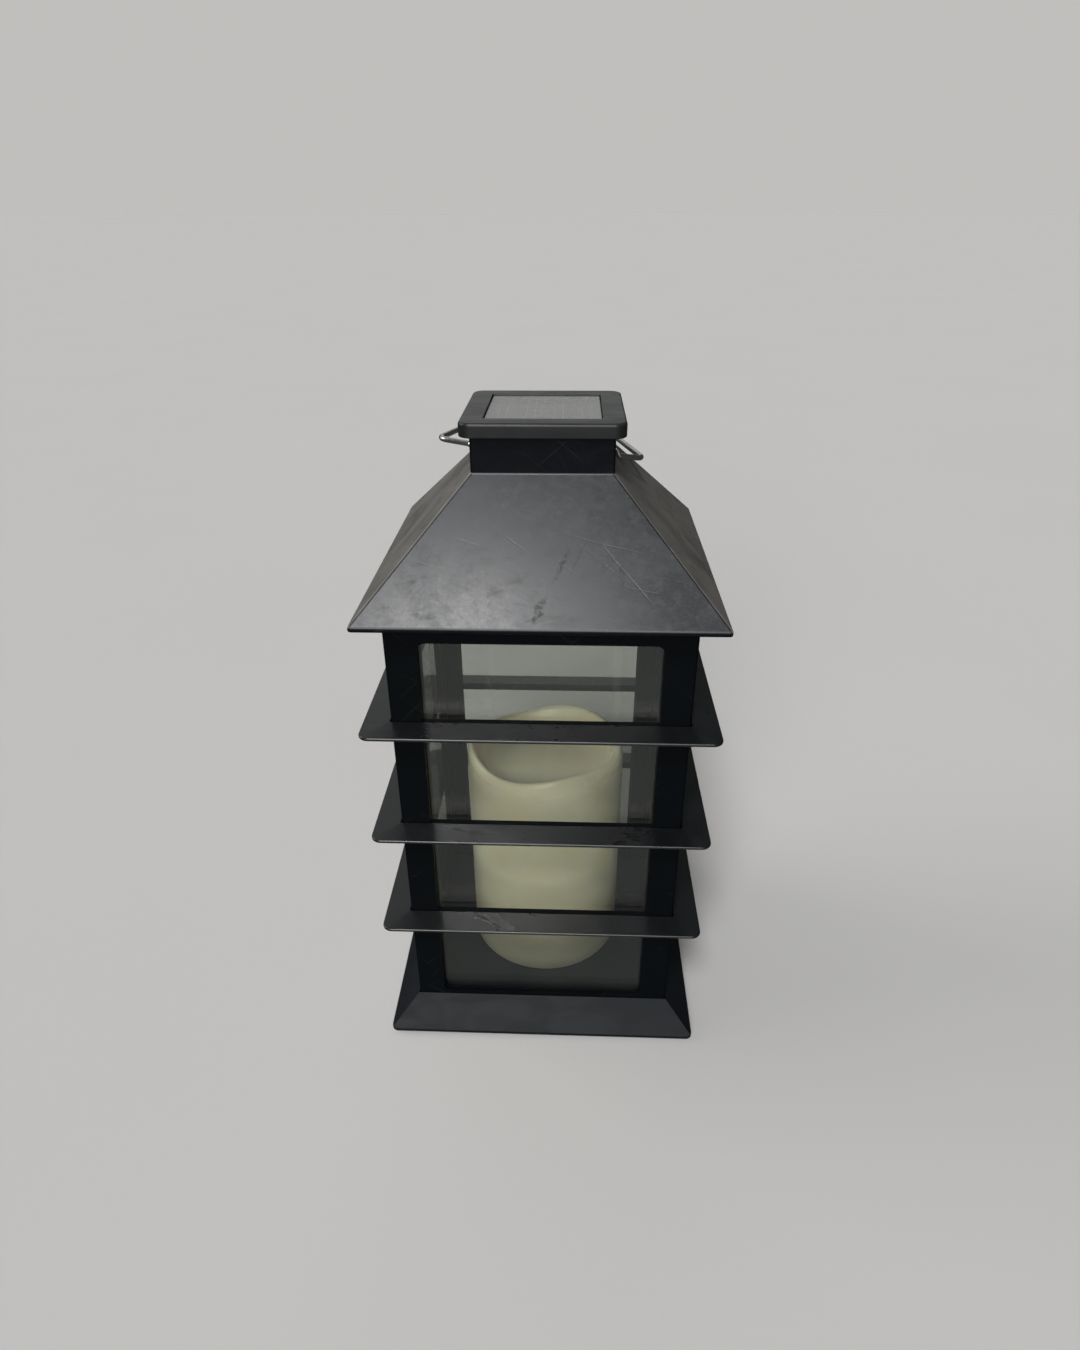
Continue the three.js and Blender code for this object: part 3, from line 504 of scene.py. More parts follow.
    def mark(self, centre, length, width, turn):
        """A soft smear on the front slope: centre (x, z), its size, and its turn from level."""
        x = self.less(self.axis(self.place, 0), centre[0])
        z = self.less(self.axis(self.place, 2), centre[1])
        wobble = self.times(self.less(self.noise(5.0, 4, 0.65), 0.5), width * 3.5)
        angle = math.radians(turn)
        along = self.sum(self.times(x, math.cos(angle)), self.times(z, math.sin(angle)))
        across = self.sum(self.times(z, math.cos(angle)), self.times(x, -math.sin(angle)))
        across = self.sum(across, wobble)
        far = self.sum(
            self.power(self.times(along, 1 / length), 2),
            self.power(self.times(across, 1 / width), 2),
        )
        broken = self.band(self.noise(1.3, 3, 0.7), 0.38, 0.62)
        return self.times(self.band(far, 0.0, 1.0, 1.0, 0.0), broken)


SCRATCH_TURNS = ((20, 35, 10), (70, -25, 50), (10, 60, 120), (55, 15, -40))
DARK_SCRATCH_TURNS = ((0, 35, 48), (10, 20, -35))


def worn_plastic(name, clean, dusty, gloss, dull, dust, wear, sheen):
    """Moulded black plastic: fine grain, dust lying on what faces up, smears and scratches."""
    paint = Paint(name)
    clouds = paint.noise(38, 5, 0.6, warp=0.6)
    specks = paint.noise(1.6, 3, 0.7)
    smears = paint.noise(11, 4, 0.6, paint.moved((0, 0, 30), (0.35, 1, 1)), warp=1.2)
    facing_up = paint.band(paint.axis(paint.normal, 2), 0.0, 0.7, 0.08, 1.0)
    lying = paint.times(paint.band(clouds, 0.35, 0.68), facing_up)
    powder = paint.times(lying, paint.band(specks, 0.35, 0.75, 0.55, 1.0))
    scuffs = paint.times(
        paint.scratches(SCRATCH_TURNS, 6.0, 0.12, 18.0), paint.band(paint.noise(16, 3), 0.46, 0.62)
    )
    amount = paint.times(powder, dust)
    tone = paint.mix(amount, clean, dusty)
    scuffed = tuple(min(1, c * 3.2 + 0.05) for c in dusty)
    tone = paint.mix(paint.times(scuffs, wear * 0.5), tone, scuffed)
    rough = paint.sum(
        paint.band(smears, 0.3, 0.7, gloss, dull),
        paint.times(amount, 0.18),
    )
    grain = paint.bump(paint.noise(0.55, 2, 0.5), 0.012)
    waves = paint.bump(paint.noise(26, 2, 0.4), 0.05, grain)
    lined = paint.bump(scuffs, -0.02 * wear, waves)
    paint.set(Base_Color=tone, Roughness=rough, Normal=lined)
    paint.surface.inputs["Specular IOR Level"].default_value = sheen
    return paint.material


# each mark: its centre (x, z), length, width, and turn in degrees
PALE_MARKS = (
    ((-38, 237.5), 5.0, 1.1, 92),
    ((-37, 233.0), 8.0, 1.0, -2),
    ((-49, 229.5), 13.0, 2.6, 0),
    ((-20, 231.5), 14.0, 6.0, 8),
)
DARK_MARKS = (
    ((24, 258), 6.5, 1.3, 40),
    ((22, 254), 5.0, 1.0, 52),
    ((8, 244), 8.0, 1.2, 58),
    ((31, 240), 7.0, 1.2, 84),
    ((43, 246), 7.0, 1.2, 50),
    ((0, 231), 6.0, 1.5, 60),
    ((41, 228), 9.0, 1.4, 3),
)
CLEAN_ROOF = (0.003, 0.004, 0.006)
# each layer over the clean roof, in order: its name, how strong it is, and its colour
ROOF_TONES = (
    ("bloom", 1.0, (0.017, 0.020, 0.025)),
    # the pale layer on the side slopes is dust, and also painted sheen where these sides catch the
    # light
    ("side_dust_and_sheen", 1.0, (0.22, 0.21, 0.195)),
    ("freckles", 0.14, (0.09, 0.09, 0.09)),
    ("rubbed", 0.35, (0.008, 0.009, 0.011)),
    ("fine_dust", 0.08, (0.075, 0.077, 0.08)),
    ("pale_marks", 0.22, (0.20, 0.20, 0.21)),
    ("dark_marks", 0.75, (0.008, 0.009, 0.011)),
    ("scratches", 0.12, (0.13, 0.135, 0.14)),
    ("dark_scratches", 0.6, (0.010, 0.011, 0.013)),
    ("specks", 0.3, (0.25, 0.24, 0.23)),
)
ROOF_DULLING = (("dark_marks", 0.16), ("rubbed", 0.07), ("fine", 0.03), ("freckles", 0.05))


def roof_layers(paint):
    """The roof's wear and a painted sheen on its side slopes, each layer a factor from 0 to 1, besides
    the plain noises that it uses.
    """
    clouds = paint.noise(30, 5, 0.62, warp=0.8)
    wide = paint.noise(75, 2, 0.5)
    mottle = paint.noise(4.5, 4, 0.65)
    fine = paint.band(paint.noise(1.1, 3, 0.7), 0.35, 0.7)
    front = paint.band(paint.axis(paint.normal, 1), -0.5, -0.3, 1.0, 0.0)
    sloping = paint.band(paint.axis(paint.normal, 2), 0.1, 0.6)
    sideways = paint.band(paint.calculate("ABSOLUTE", paint.axis(paint.normal, 0)), 0.3, 0.5)
    chalk = paint.times(
        paint.band(wide, 0.3, 0.7, 0.6, 1.0), paint.band(clouds, 0.28, 0.72, 0.45, 1.0)
    )
    # pale dust on the left and right slopes only: dust, and also painted sheen that these sides catch
    # from the light
    side_dust_and_sheen = paint.times(sideways, paint.band(clouds, 0.25, 0.7, 0.55, 1.0))
    along_strokes = paint.moved((0, 0, 40), (0.5, 1, 1))
    elsewhere = paint.moved(place=(40, 9, 70))
    return {
        "clouds": clouds,
        "wide": wide,
        "fine": fine,
        "bloom": paint.times(chalk, sloping),
        "side_dust_and_sheen": paint.times(side_dust_and_sheen, sloping),
        "freckles": paint.times(paint.band(mottle, 0.45, 0.72), sloping),
        "rubbed": paint.band(paint.noise(9, 4, 0.6, along_strokes, 0.8), 0.5, 0.72),
        "fine_dust": paint.times(fine, sloping),
        "pale_marks": marked(paint, PALE_MARKS, front),
        "dark_marks": marked(paint, DARK_MARKS, front),
        "scratches": paint.times(
            paint.scratches(SCRATCH_TURNS), paint.band(paint.noise(22, 3), 0.42, 0.6)
        ),
        "dark_scratches": paint.times(
            paint.scratches(DARK_SCRATCH_TURNS, 5.0, 0.2, 14.0, 0.3),
            paint.band(paint.noise(19, 3, vector=elsewhere), 0.46, 0.6),
        ),
        "specks": paint.times(paint.band(paint.noise(0.9, 2, 0.6), 0.70, 0.78), sloping),
    }


def roof_plastic():
    """The weathered roof: chalky bloom, pale dust with painted sheen on the side slopes, pale smears,
    dark rubbed strokes and fine scratches.
    """
    paint = Paint("weathered_roof_plastic")
    layers = roof_layers(paint)
    tone = CLEAN_ROOF
    for name, strength, colour in ROOF_TONES:
        tone = paint.mix(paint.times(layers[name], strength), tone, colour)
    rough = paint.band(layers["clouds"], 0.3, 0.7, 0.28, 0.33)
    for name, dulling in ROOF_DULLING:
        rough = paint.sum(rough, paint.times(layers[name], dulling))
    grain = paint.bump(paint.noise(0.5, 2, 0.5), 0.008)
    waves = paint.bump(layers["wide"], 0.10, grain)
    lined = paint.bump(paint.most(layers["scratches"], layers["dark_scratches"]), -0.015, waves)
    upright = paint.band(paint.axis(paint.normal, 2), 0.1, 0.5, 1.0, 0.0)
    paint.set(Base_Color=tone, Roughness=rough, Normal=lined)
    paint.set(Specular_IOR_Level=paint.mix_value(upright, 0.5, 0.1))
    return paint.material


def marked(paint, marks, where):
    """All the marks of one table as one factor, kept to where they may show."""
    whole = None
    for centre, length, width, turn in marks:
        one = paint.mark(centre, length, width, turn)
        whole = one if whole is None else paint.most(whole, one)
    return paint.times(whole, where)


def clear_sheet(paint, tint, film, mirror_roughness):
    """A tinted clear sheet with the paint's surface as a thin film on it, under a clear mirror."""
    clear = paint.node("ShaderNodeBsdfTransparent", {"Color": tint})
    body = paint.node("ShaderNodeMixShader", {
        0: film, 1: clear.outputs[0], 2: paint.surface.outputs[0],
    })
    mirror = paint.node("ShaderNodeBsdfGlossy", {"Color": (1, 1, 1), "Roughness": mirror_roughness})
    whole = paint.node("ShaderNodeMixShader", {
        0: paint.shine(), 1: body.outputs[0], 2: mirror.outputs[0],
    })
    paint.feed(paint.out.inputs["Surface"], whole.outputs[0])
    return paint.material


def pane_glass():
    """Clear pane: thin grey-green tint, a film of dust towards the edges, mirror-like surface."""
    paint = Paint("pane_glass")
    haze = paint.noise(45, 4, 0.6, warp=0.5)
    grazing = paint.node("ShaderNodeLayerWeight", {"Blend": 0.5}).outputs["Facing"]
    slant = paint.band(grazing, 0.45, 0.95, 1.0, 2.5)
    film = paint.times(slant, paint.band(haze, 0.35, 0.75, 0.012, 0.022))
    paint.set(Base_Color=(0.34, 0.37, 0.36), Roughness=0.6)
    return clear_sheet(paint, (0.83, 0.845, 0.82), film, 0.03)


def solar_window_resin():
    """Hazed clear cover over the cell."""
    paint = Paint("solar_window_resin")
    haze = paint.noise(12, 4, 0.6)
    specks = paint.band(paint.noise(0.8, 2), 0.66, 0.74, 0.0, 0.3)
    film = paint.sum(paint.band(haze, 0.3, 0.7, 0.18, 0.25), specks)
    paint.set(Base_Color=(0.25, 0.26, 0.25), Roughness=0.5)
    return clear_sheet(paint, (0.9, 0.9, 0.88), film, paint.band(haze, 0.3, 0.7, 0.10, 0.2))


def candle_wax():
    """Ivory wax: light passes into it, with faint mottling, pits, a polished melted rim and painted
    shade darkening its lower part.
    """
    paint = Paint("candle_wax")
    clouds = paint.noise(24, 4, 0.55, warp=0.5)
    mottle = paint.noise(3.2, 4, 0.6)
    tone = paint.mix(paint.band(clouds, 0.3, 0.7), (0.85, 0.77, 0.56), (0.90, 0.84, 0.67))
    tone = paint.mix(paint.times(paint.band(mottle, 0.5, 0.8), 0.25), tone, (0.70, 0.63, 0.42))
    pits = paint.band(paint.noise(1.4, 2, 0.6), 0.72, 0.8)
    tone = paint.mix(paint.times(pits, 0.3), tone, (0.5, 0.44, 0.3))
    height = paint.axis(paint.place, 2)
    # painted shade: the wax is darkened towards the bottom of the candle, where shade falls, not dirt
    painted_low_shade = paint.band(paint.sum(height, paint.times(clouds, 8)), 24.0, 62.0, 0.8, 0.0)
    tone = paint.mix(painted_low_shade, tone, (0.20, 0.19, 0.15))
    melted = paint.band(height, 112.0, 124.0)
    rough = paint.sum(paint.band(clouds, 0.3, 0.7, 0.42, 0.52), paint.times(melted, -0.24))
    soft = paint.bump(clouds, 0.35)
    fine = paint.bump(mottle, 0.05, soft)
    pitted = paint.bump(pits, -0.05, fine)
    paint.set(Base_Color=tone, Roughness=rough, Normal=pitted)
    paint.surface.inputs["Subsurface Weight"].default_value = 0.35
    paint.surface.inputs["Subsurface Radius"].default_value = (1.0, 0.75, 0.45)
    paint.surface.inputs["Subsurface Scale"].default_value = 6 * MM
    return paint.material


def drawn_steel(name, tone, gloss, dull):
    """Bright metal with drawing lines and thin grey tarnish."""
    paint = Paint(name)
    tarnish = paint.noise(5, 5, 0.65)
    lines = paint.noise(0.25, 2, 0.5, paint.moved((0, 0, 20), (0.2, 1, 1)))
    dark = tuple(c * 0.45 for c in tone)
    paint.set(
        Base_Color=paint.mix(paint.band(tarnish, 0.5, 0.75, 0.0, 0.7), tone, dark),
        Roughness=paint.band(paint.sum(tarnish, paint.times(lines, 0.4)), 0.5, 1.0, gloss, dull),
        Normal=paint.bump(lines, 0.006),
    )
    paint.surface.inputs["Metallic"].default_value = 1.0
    return paint.material


def silicon():
    """Dark cell surface: crystal mottling in deep blue-grey."""
    paint = Paint("solar_silicon")
    cells = paint.node("ShaderNodeTexVoronoi", {"Vector": paint.place, "Scale": 0.35})
    tone = paint.mix(cells.outputs["Distance"], (0.035, 0.040, 0.050), (0.085, 0.090, 0.10))
    paint.set(
        Base_Color=tone,
        Roughness=paint.band(paint.noise(5, 3), 0.3, 0.7, 0.25, 0.4),
        Normal=paint.bump(paint.noise(0.4, 2), 0.004),
    )
    return paint.material


def moulded(name, tone, gloss=0.35, dull=0.55, grain=0.5):
    """Plain moulded or rubbery plastic with fine grain and slight mottling."""
    paint = Paint(name)
    clouds = paint.noise(14, 4, 0.6)
    darker = tuple(c * 0.72 for c in tone)
    paint.set(
        Base_Color=paint.mix(paint.band(clouds, 0.3, 0.75), tone, darker),
        Roughness=paint.band(clouds, 0.3, 0.7, gloss, dull),
        Normal=paint.bump(paint.noise(grain, 3), 0.02),
    )
    return paint.material


def circuit_green():
    """Solder mask with copper tracks just showing through."""
    paint = Paint("circuit_green")
    bricks = paint.node("ShaderNodeTexBrick", {
        "Vector": paint.place, "Scale": 0.25, "Mortar Size": 0.03,
        "Color1": (0.03, 0.16, 0.07), "Color2": (0.04, 0.20, 0.09), "Mortar": (0.02, 0.09, 0.04),
    })
    paint.set(
        Base_Color=bricks.outputs["Color"],
        Roughness=paint.band(paint.noise(6, 3), 0.3, 0.7, 0.25, 0.4),
        Normal=paint.bump(bricks.outputs["Fac"], -0.03),
    )
    return paint.material


BLACK = worn_plastic(
    "black_plastic", clean=(0.002, 0.003, 0.004), dusty=(0.014, 0.015, 0.016),
    gloss=0.40, dull=0.50, dust=0.25, wear=0.5, sheen=0.05,
)
LOUVRE_BLACK = worn_plastic(
    "louvre_plastic", clean=(0.005, 0.006, 0.007), dusty=(0.022, 0.024, 0.026),
    gloss=0.25, dull=0.32, dust=0.30, wear=0.15, sheen=0.65,
)
BASE_BLACK = worn_plastic(
    "base_plastic", clean=(0.006, 0.008, 0.011), dusty=(0.014, 0.017, 0.021),
    gloss=0.44, dull=0.54, dust=0.5, wear=0.4, sheen=0.14,
)
CAP_BLACK = worn_plastic(
    "cap_plastic", clean=(0.010, 0.011, 0.012), dusty=(0.038, 0.039, 0.040),
    gloss=0.30, dull=0.38, dust=0.5, wear=0.6, sheen=0.35,
)
ROOF = roof_plastic()
GLASS = pane_glass()
WINDOW = solar_window_resin()
WAX = candle_wax()
WIRE = drawn_steel("bail_steel", (0.62, 0.61, 0.59), 0.16, 0.34)
ZINC = drawn_steel("screw_zinc", (0.5, 0.5, 0.5), 0.3, 0.5)
CELL = silicon()
TINNED = drawn_steel("cell_busbar", (0.7, 0.7, 0.7), 0.25, 0.4)
RUBBER = moulded("foot_rubber", (0.025, 0.025, 0.026), 0.75, 0.9, 0.8)
WHITE = moulded("white_plastic", (0.78, 0.77, 0.72))
SLEEVE = moulded("cell_sleeve", (0.06, 0.30, 0.14), 0.22, 0.35)
CHIP = moulded("chip_black", (0.02, 0.02, 0.02), 0.45, 0.6, 0.3)
LEAD = moulded("lead_pvc", (0.35, 0.04, 0.035), 0.35, 0.5)
LAMP = moulded("lamp_epoxy", (0.9, 0.88, 0.78), 0.12, 0.22, 2.0)
BOARD = circuit_green()


# ------------------------------------------------------------------ roof
def roof_inside(half, slope):
    """The height of the sloping shell's inner face at a half-width."""
    return NECK_BOTTOM - (half - NECK_HALF) * slope - SHELL * math.hypot(1, slope)


def make_roof():
    """The hipped shell with its eave lip, inner rib, neck, four screw bosses and pivot holes."""
    eave = EAVE_BOTTOM
    slope = (NECK_BOTTOM - eave - EAVE_LIP) / (EAVE_HALF - NECK_HALF)
    neck_inner = NECK_HALF - NECK_WALL
    rib_inner = CAGE_HALF + GAP
    rib_outer = rib_inner + SHELL
    lip_inner = EAVE_HALF - SHELL
    outline = softened([
        (EAVE_HALF, eave, 0.7),
        (EAVE_HALF, eave + EAVE_LIP, 1.0),
        (NECK_HALF, NECK_BOTTOM, 0.5),
        (NECK_HALF, ROOF_HIGH.z, 0.4),
        (neck_inner, ROOF_HIGH.z, 0.4),
        (neck_inner, roof_inside(neck_inner, slope), 0.8),
        (rib_inner, roof_inside(rib_inner, slope), 0.3),
        (rib_inner, eave + 0.6, 0.4),
        (rib_outer, eave + 0.6, 0.4),
        (rib_outer, roof_inside(rib_outer, slope), 0.3),
        (lip_inner, roof_inside(lip_inner, slope), 0.4),
        (lip_inner, eave, 0.4),
    ])
    roof = square_loft("roof", outline, 1.5, 1.15)
    for where in ((-BOSS_AWAY, 0), (BOSS_AWAY, 0), (0, -BOSS_AWAY), (0, BOSS_AWAY)):
        boss = turned("boss", [
            (BOSS_BORE, BOSS_BOTTOM),
            (BOSS_RADIUS, BOSS_BOTTOM),
            (BOSS_RADIUS, BOSS_TOP),
            (BOSS_BORE, BOSS_TOP),
        ], 32, True)
        move_to(boss, where)
        cut(roof, boss, "UNION")
    reach = NECK_HALF + 6.6
    hole = turned("hole", [(0, -reach), (PIVOT_BORE, -reach), (PIVOT_BORE, reach), (0, reach)], 32)
    hole.data.transform(Matrix.Translation((0, 0, BAIL_Z * MM)) @ Matrix.Rotation(math.pi / 2, 4, "Y"))
    cut(roof, hole)
    flatten_shading(roof)
    dress(roof, ROOF, BODY, "roof_plastic", "roof_shell")


# ------------------------------------------------------------------ solar cap
def make_cap():
    """The cap's bezel, its clear window, the cell under it and the tray that closes it."""
    half = CAP_HIGH.x
    low, top = CAP_LOW.z, CAP_HIGH.z
    wall_inner = half - SHELL - 0.15
    outline = softened([
        (CAP_OPENING, top - SHELL, 0.2),
        (wall_inner, top - SHELL, 0.5),
        (wall_inner, low, 0.3),
        (half, low, 0.5),
        (half, top, 1.3),
        (CAP_OPENING, top, 0.35),
    ], steps=5)
    cap = square_loft("cap_bezel", outline, 5.0, 0.6)
    flatten_shading(cap)
    dress(cap, CAP_BLACK, BODY, "black_plastic", "cap_frame")

    low, high = box("solar_window")
    outline = softened([
        (0.5, low.z, 0),
        (high.x, low.z, 0.2),
        (high.x, high.z, 0.35),
        (0.5, high.z, 0),
    ], False)
    window = square_loft("solar_cover", outline, 1.0, closed=False)
    flatten_shading(window)
    dress(window, WINDOW, BODY, "clear_resin", "solar_window")
    make_cell()
    dress(eased("cap_tray", 0.3), CAP_BLACK, BODY, "black_plastic", "cap_tray")


def make_cell():
    """Laminate board with four cell strips, each with two tinned busbars."""
    low, high = box("solar_cell")
    board_top = high.z - 0.35
    outline = softened([
        (0.5, low.z, 0),
        (high.x, low.z, 0.2),
        (high.x, board_top, 0.2),
        (0.5, board_top, 0),
    ], False)
    board = square_loft("solar_board", outline, 0.8, closed=False)
    dress(board, BOARD, BODY, "solar_silicon", "solar_cell")
    strip_top = high.z - 0.1
    bar_end = CELL_HALF - 0.2
    strips, gap = 4, 0.8
    width = (2 * CELL_HALF - (strips - 1) * gap) / strips
    for i in range(strips):
        left = -CELL_HALF + i * (width + gap)
        strip = slab(
            f"cell_strip_{i + 1}",
            (left, -CELL_HALF, board_top), (left + width, CELL_HALF, strip_top), 0.08,
        )
        dress(strip, CELL, BODY, "solar_silicon")
        for k in (1, 2):
            middle = left + width * k / 3
            bar = slab(
                f"cell_busbar_{i + 1}_{k}",
                (middle - BUSBAR_HALF, -bar_end, strip_top),
                (middle + BUSBAR_HALF, bar_end, high.z), 0.03,
            )
            dress(bar, TINNED, BODY, "solar_silicon")


def slab(name, low, high, ease):
    """A box with eased edges, from its lowest to its highest corner."""
    work = bmesh.new()
    bmesh.ops.create_cube(work, size=1)
    size = [(b - a) * MM for a, b in zip(low, high)]
    middle = [(a + b) / 2 * MM for a, b in zip(low, high)]
    bmesh.ops.scale(work, vec=size, verts=work.verts)
    bmesh.ops.translate(work, vec=middle, verts=work.verts)
    bmesh.ops.bevel(
        work, geom=work.edges[:], offset=ease * MM, segments=2, profile=0.5, affect="EDGES"
    )
    mesh = bpy.data.meshes.new(name)
    settle(work, mesh, 50)
    piece = bpy.data.objects.new(name, mesh)
    bpy.context.scene.collection.objects.link(piece)
    flatten_shading(piece)
    return piece


# ------------------------------------------------------------------ louvres, cage, glass, base
def make_louvres():
    """Three sloping rings round the cage."""
    for name in LOUVRE_NAMES:
        low, high = box(f"louvre_ring_{name}")
        inner = CAGE_HALF + GAP
        outline = softened([
            (inner, low.z, 0.2),
            (LOUVRE_HALF, low.z, 0.6),
            (LOUVRE_HALF, low.z + 1.5, 1.2),
            (inner, high.z, 0.35),
        ], steps=5)
        ring = square_loft(f"louvre_{name}", outline, 4.5, 0.3, sharp=50)
        flatten_shading(ring)
        dress(ring, LOUVRE_BLACK, BODY, "black_plastic", f"louvre_ring_{name}")


def make_housing():
    """The cage, base, trays, cover, corner columns and the four panes."""
    dress(eased("body_cage", 0.35), BLACK, BODY, "black_plastic", "body_cage")
    dress(eased("base_tray", 0.45), BASE_BLACK, BODY, "black_plastic", "base_tray")
    dress(eased("ceiling_tray", 0.3), BLACK, BODY, "black_plastic", "ceiling_tray")
    dress(eased("bottom_cover", 0.3), BLACK, BODY, "black_plastic", "bottom_cover")
    for name in CORNERS:
        column = eased(f"pane_column_{name}", 0.4)
        dress(column, BLACK, BODY, "black_plastic", f"pane_column_{name}")
    for name in ("front", "right", "rear", "left"):
        node = f"glass_pane_{name}"
        low, high = box(node)
        pane = slab(f"pane_{name}", low, high, 0.25)
        dress(pane, GLASS, BODY, "pane_glass", node)


def make_feet():
    """Four round rubber feet with an eased bottom edge."""
    for name in CORNERS:
        node = f"foot_pad_{name}"
        low, high = box(node)
        radius = (high.x - low.x) / 2
        outline = softened([
            (0, low.z, 0),
            (radius - 1.6, low.z, 0.3),
            (radius, low.z + 0.35, 0.4),
            (radius, high.z, 0.2),
            (0, high.z, 0),
        ], False)
        foot = turned(f"foot_{name}", outline, 48)
        move_to(foot, (low + high) / 2)
        dress(foot, RUBBER, BODY, "foot_rubber", node)


def make_screws():
    """Pan-head screws with a cross recess; those of the columns have their heads on top."""
    names = [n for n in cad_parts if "screw" in n]
    for node in sorted(names):
        low, high = box(node)
        upside = node.startswith("column")
        length = high.z - low.z
        outline = softened([
            (0, 0, 0),
            (1.6, 0.05, 0.4),
            (SCREW_HEAD, 0.7, 0.4),
            (SCREW_HEAD, SCREW_HEAD_HEIGHT, 0.2),
            (SCREW_SHANK, SCREW_HEAD_HEIGHT, 0.2),
            (SCREW_SHANK, length - 1.2, 0.2),
            (0, length, 0),
        ], False)
        screw = turned(f"{node}_pan_head", outline, 40)
        for x, y in ((RECESS_LONG, RECESS_NARROW), (RECESS_NARROW, RECESS_LONG)):
            cut(screw, slab("recess", (-x, -y, -0.5), (x, y, RECESS_DEPTH), 0.05))
        # the turn follows from the name's length, so that the crosses don't all line up
        turn = Matrix.Rotation(math.radians(37 * (len(node) % 5) + 11), 4, "Z")
        flip = Matrix.Rotation(math.pi, 4, "X") if upside else Matrix.Identity(4)
        middle = (low + high) / 2
        start = Vector((middle.x, middle.y, high.z if upside else low.z)) * MM
        screw.data.transform(Matrix.Translation(start) @ flip @ turn)
        dress(screw, ZINC, BODY, "screw_zinc", node)


# ------------------------------------------------------------------ candle
def rim_wave(angle):
    """How far the melted rim stands above its mean height at an angle round the candle."""
    third = 2.2 * math.cos(3 * (angle - math.pi / 3))
    first = 2.0 * math.cos(angle + math.radians(80))
    return third + first


def smooth(value, low, high):
    """A smooth step from 0 to 1 while the value goes from low to high."""
    t = min(max((value - low) / (high - low), 0), 1)
    return t * t * (3 - 2 * t)


def melted(place):
    """A point of the candle moved with the wave of its rim, which fades downwards and inwards."""
    x, y, z = place
    rise = smooth(z, WAVE_START, RIM_HEIGHT)
    out = min(math.hypot(x, y) / CANDLE_BORE, 1) ** 3
    return x, y, z + rise * out * rim_wave(math.atan2(y, x))


def make_candle():
    """A hollow pillar candle with a melted bowl on top; the bowl's floor closes the hollow."""
    low = CANDLE_LOW.z
    outline = softened([
        (0, BOWL_HEIGHT - 3.3, 0),
        (24, BOWL_HEIGHT - 3.6, 4),
        (33, BOWL_HEIGHT - 5.5, 4),
        (CANDLE_BORE, BOWL_HEIGHT - 12, 4),
        (CANDLE_BORE, low, 0.5),
        (CANDLE_RADIUS, low, 0.8),
        (CANDLE_RADIUS, RIM_HEIGHT - 3, 3),
        (CANDLE_RADIUS - 1, RIM_HEIGHT - 0.6, 1.5),
        (CANDLE_RADIUS - 2.2, RIM_HEIGHT, 1.5),
        (CANDLE_RADIUS - 3.8, RIM_HEIGHT - 1, 1.5),
        (CANDLE_RADIUS - 5.6, RIM_HEIGHT - 5, 3),
        (CANDLE_RADIUS - 9, BOWL_HEIGHT + 4, 4),
        (CANDLE_RADIUS - 16, BOWL_HEIGHT + 1, 6),
        (0, BOWL_HEIGHT, 0),
    ], False, 6)
    outline = spread(outline, 4.0)
    candle = turned("wax_candle", outline, 144, False, 60, melted)
    dress(candle, WAX, BODY, "candle_wax", "candle_shell")


def spread(outline, longest):
    """The outline with extra points, so that no step is longer than the given length."""
    points = [outline[0]]
    for here, after in zip(outline, outline[1:]):
        steps = max(1, math.ceil(math.dist(here, after) / longest))
        for i in range(1, steps + 1):
            t = i / steps
            points.append((here[0] + (after[0] - here[0]) * t, here[1] + (after[1] - here[1]) * t))
    return points


# ------------------------------------------------------------------ electrics
def make_electrics():
    """The battery housing, cell, board, switch, leads and lamp, and the battery door."""
    dress(eased("battery_housing", 0.4), WHITE, BODY, "white_plastic", "battery_housing")
    dress(eased("circuit_board", 0.15), BOARD, BODY, "board_green", "circuit_board")
    dress(eased("switch_body", 0.15), ZINC, BODY, "steel_wire", "switch_body")
    dress(eased("contact_plate", 0.1), WIRE, BODY, "steel_wire", "contact_plate")
    dress(eased("driver_chip", 0.15), CHIP, BODY, "chip_black", "driver_chip")
    make_battery()
    coat("contact_spring", WIRE)
    coat("choke_coil", CHIP)
    coat("lamp_lead", LEAD)
    coat("solar_lead", LEAD)
    coat("lamp_mast", WHITE)
    coat("led_lamp", LAMP)
    dress(eased("switch_slider", 0.2), WHITE, "switch_slider", "white_plastic", "switch_slider")
    dress(eased("battery_door", 0.2), BLACK, "battery_door", "black_plastic", "battery_door")


def make_battery():
    """A sleeved round cell with its small end contact, lying along x."""
    low, high = box("battery_cell")
    half = (high.x - low.x) / 2
    radius = (high.z - low.z) / 2
    shoulder = half - CELL_END_HEIGHT
    outline = softened([
        (0, -half, 0),
        (radius - 1.5, -half, 0.3),
        (radius, -half + 0.5, 0.8),
        (radius, shoulder - 0.4, 0.8),
        (radius - 1.6, shoulder, 0.4),
        (CELL_END_RADIUS, shoulder, 0.2),
        (CELL_END_RADIUS, half, 0.5),
        (0, half, 0),
    ], False)
    cell = turned("rechargeable_cell", outline, 64)
    middle = (low + high) / 2 * MM
    cell.data.transform(Matrix.Translation(middle) @ Matrix.Rotation(math.pi / 2, 4, "Y"))
    dress(cell, SLEEVE, BODY, "cell_sleeve", "battery_cell")


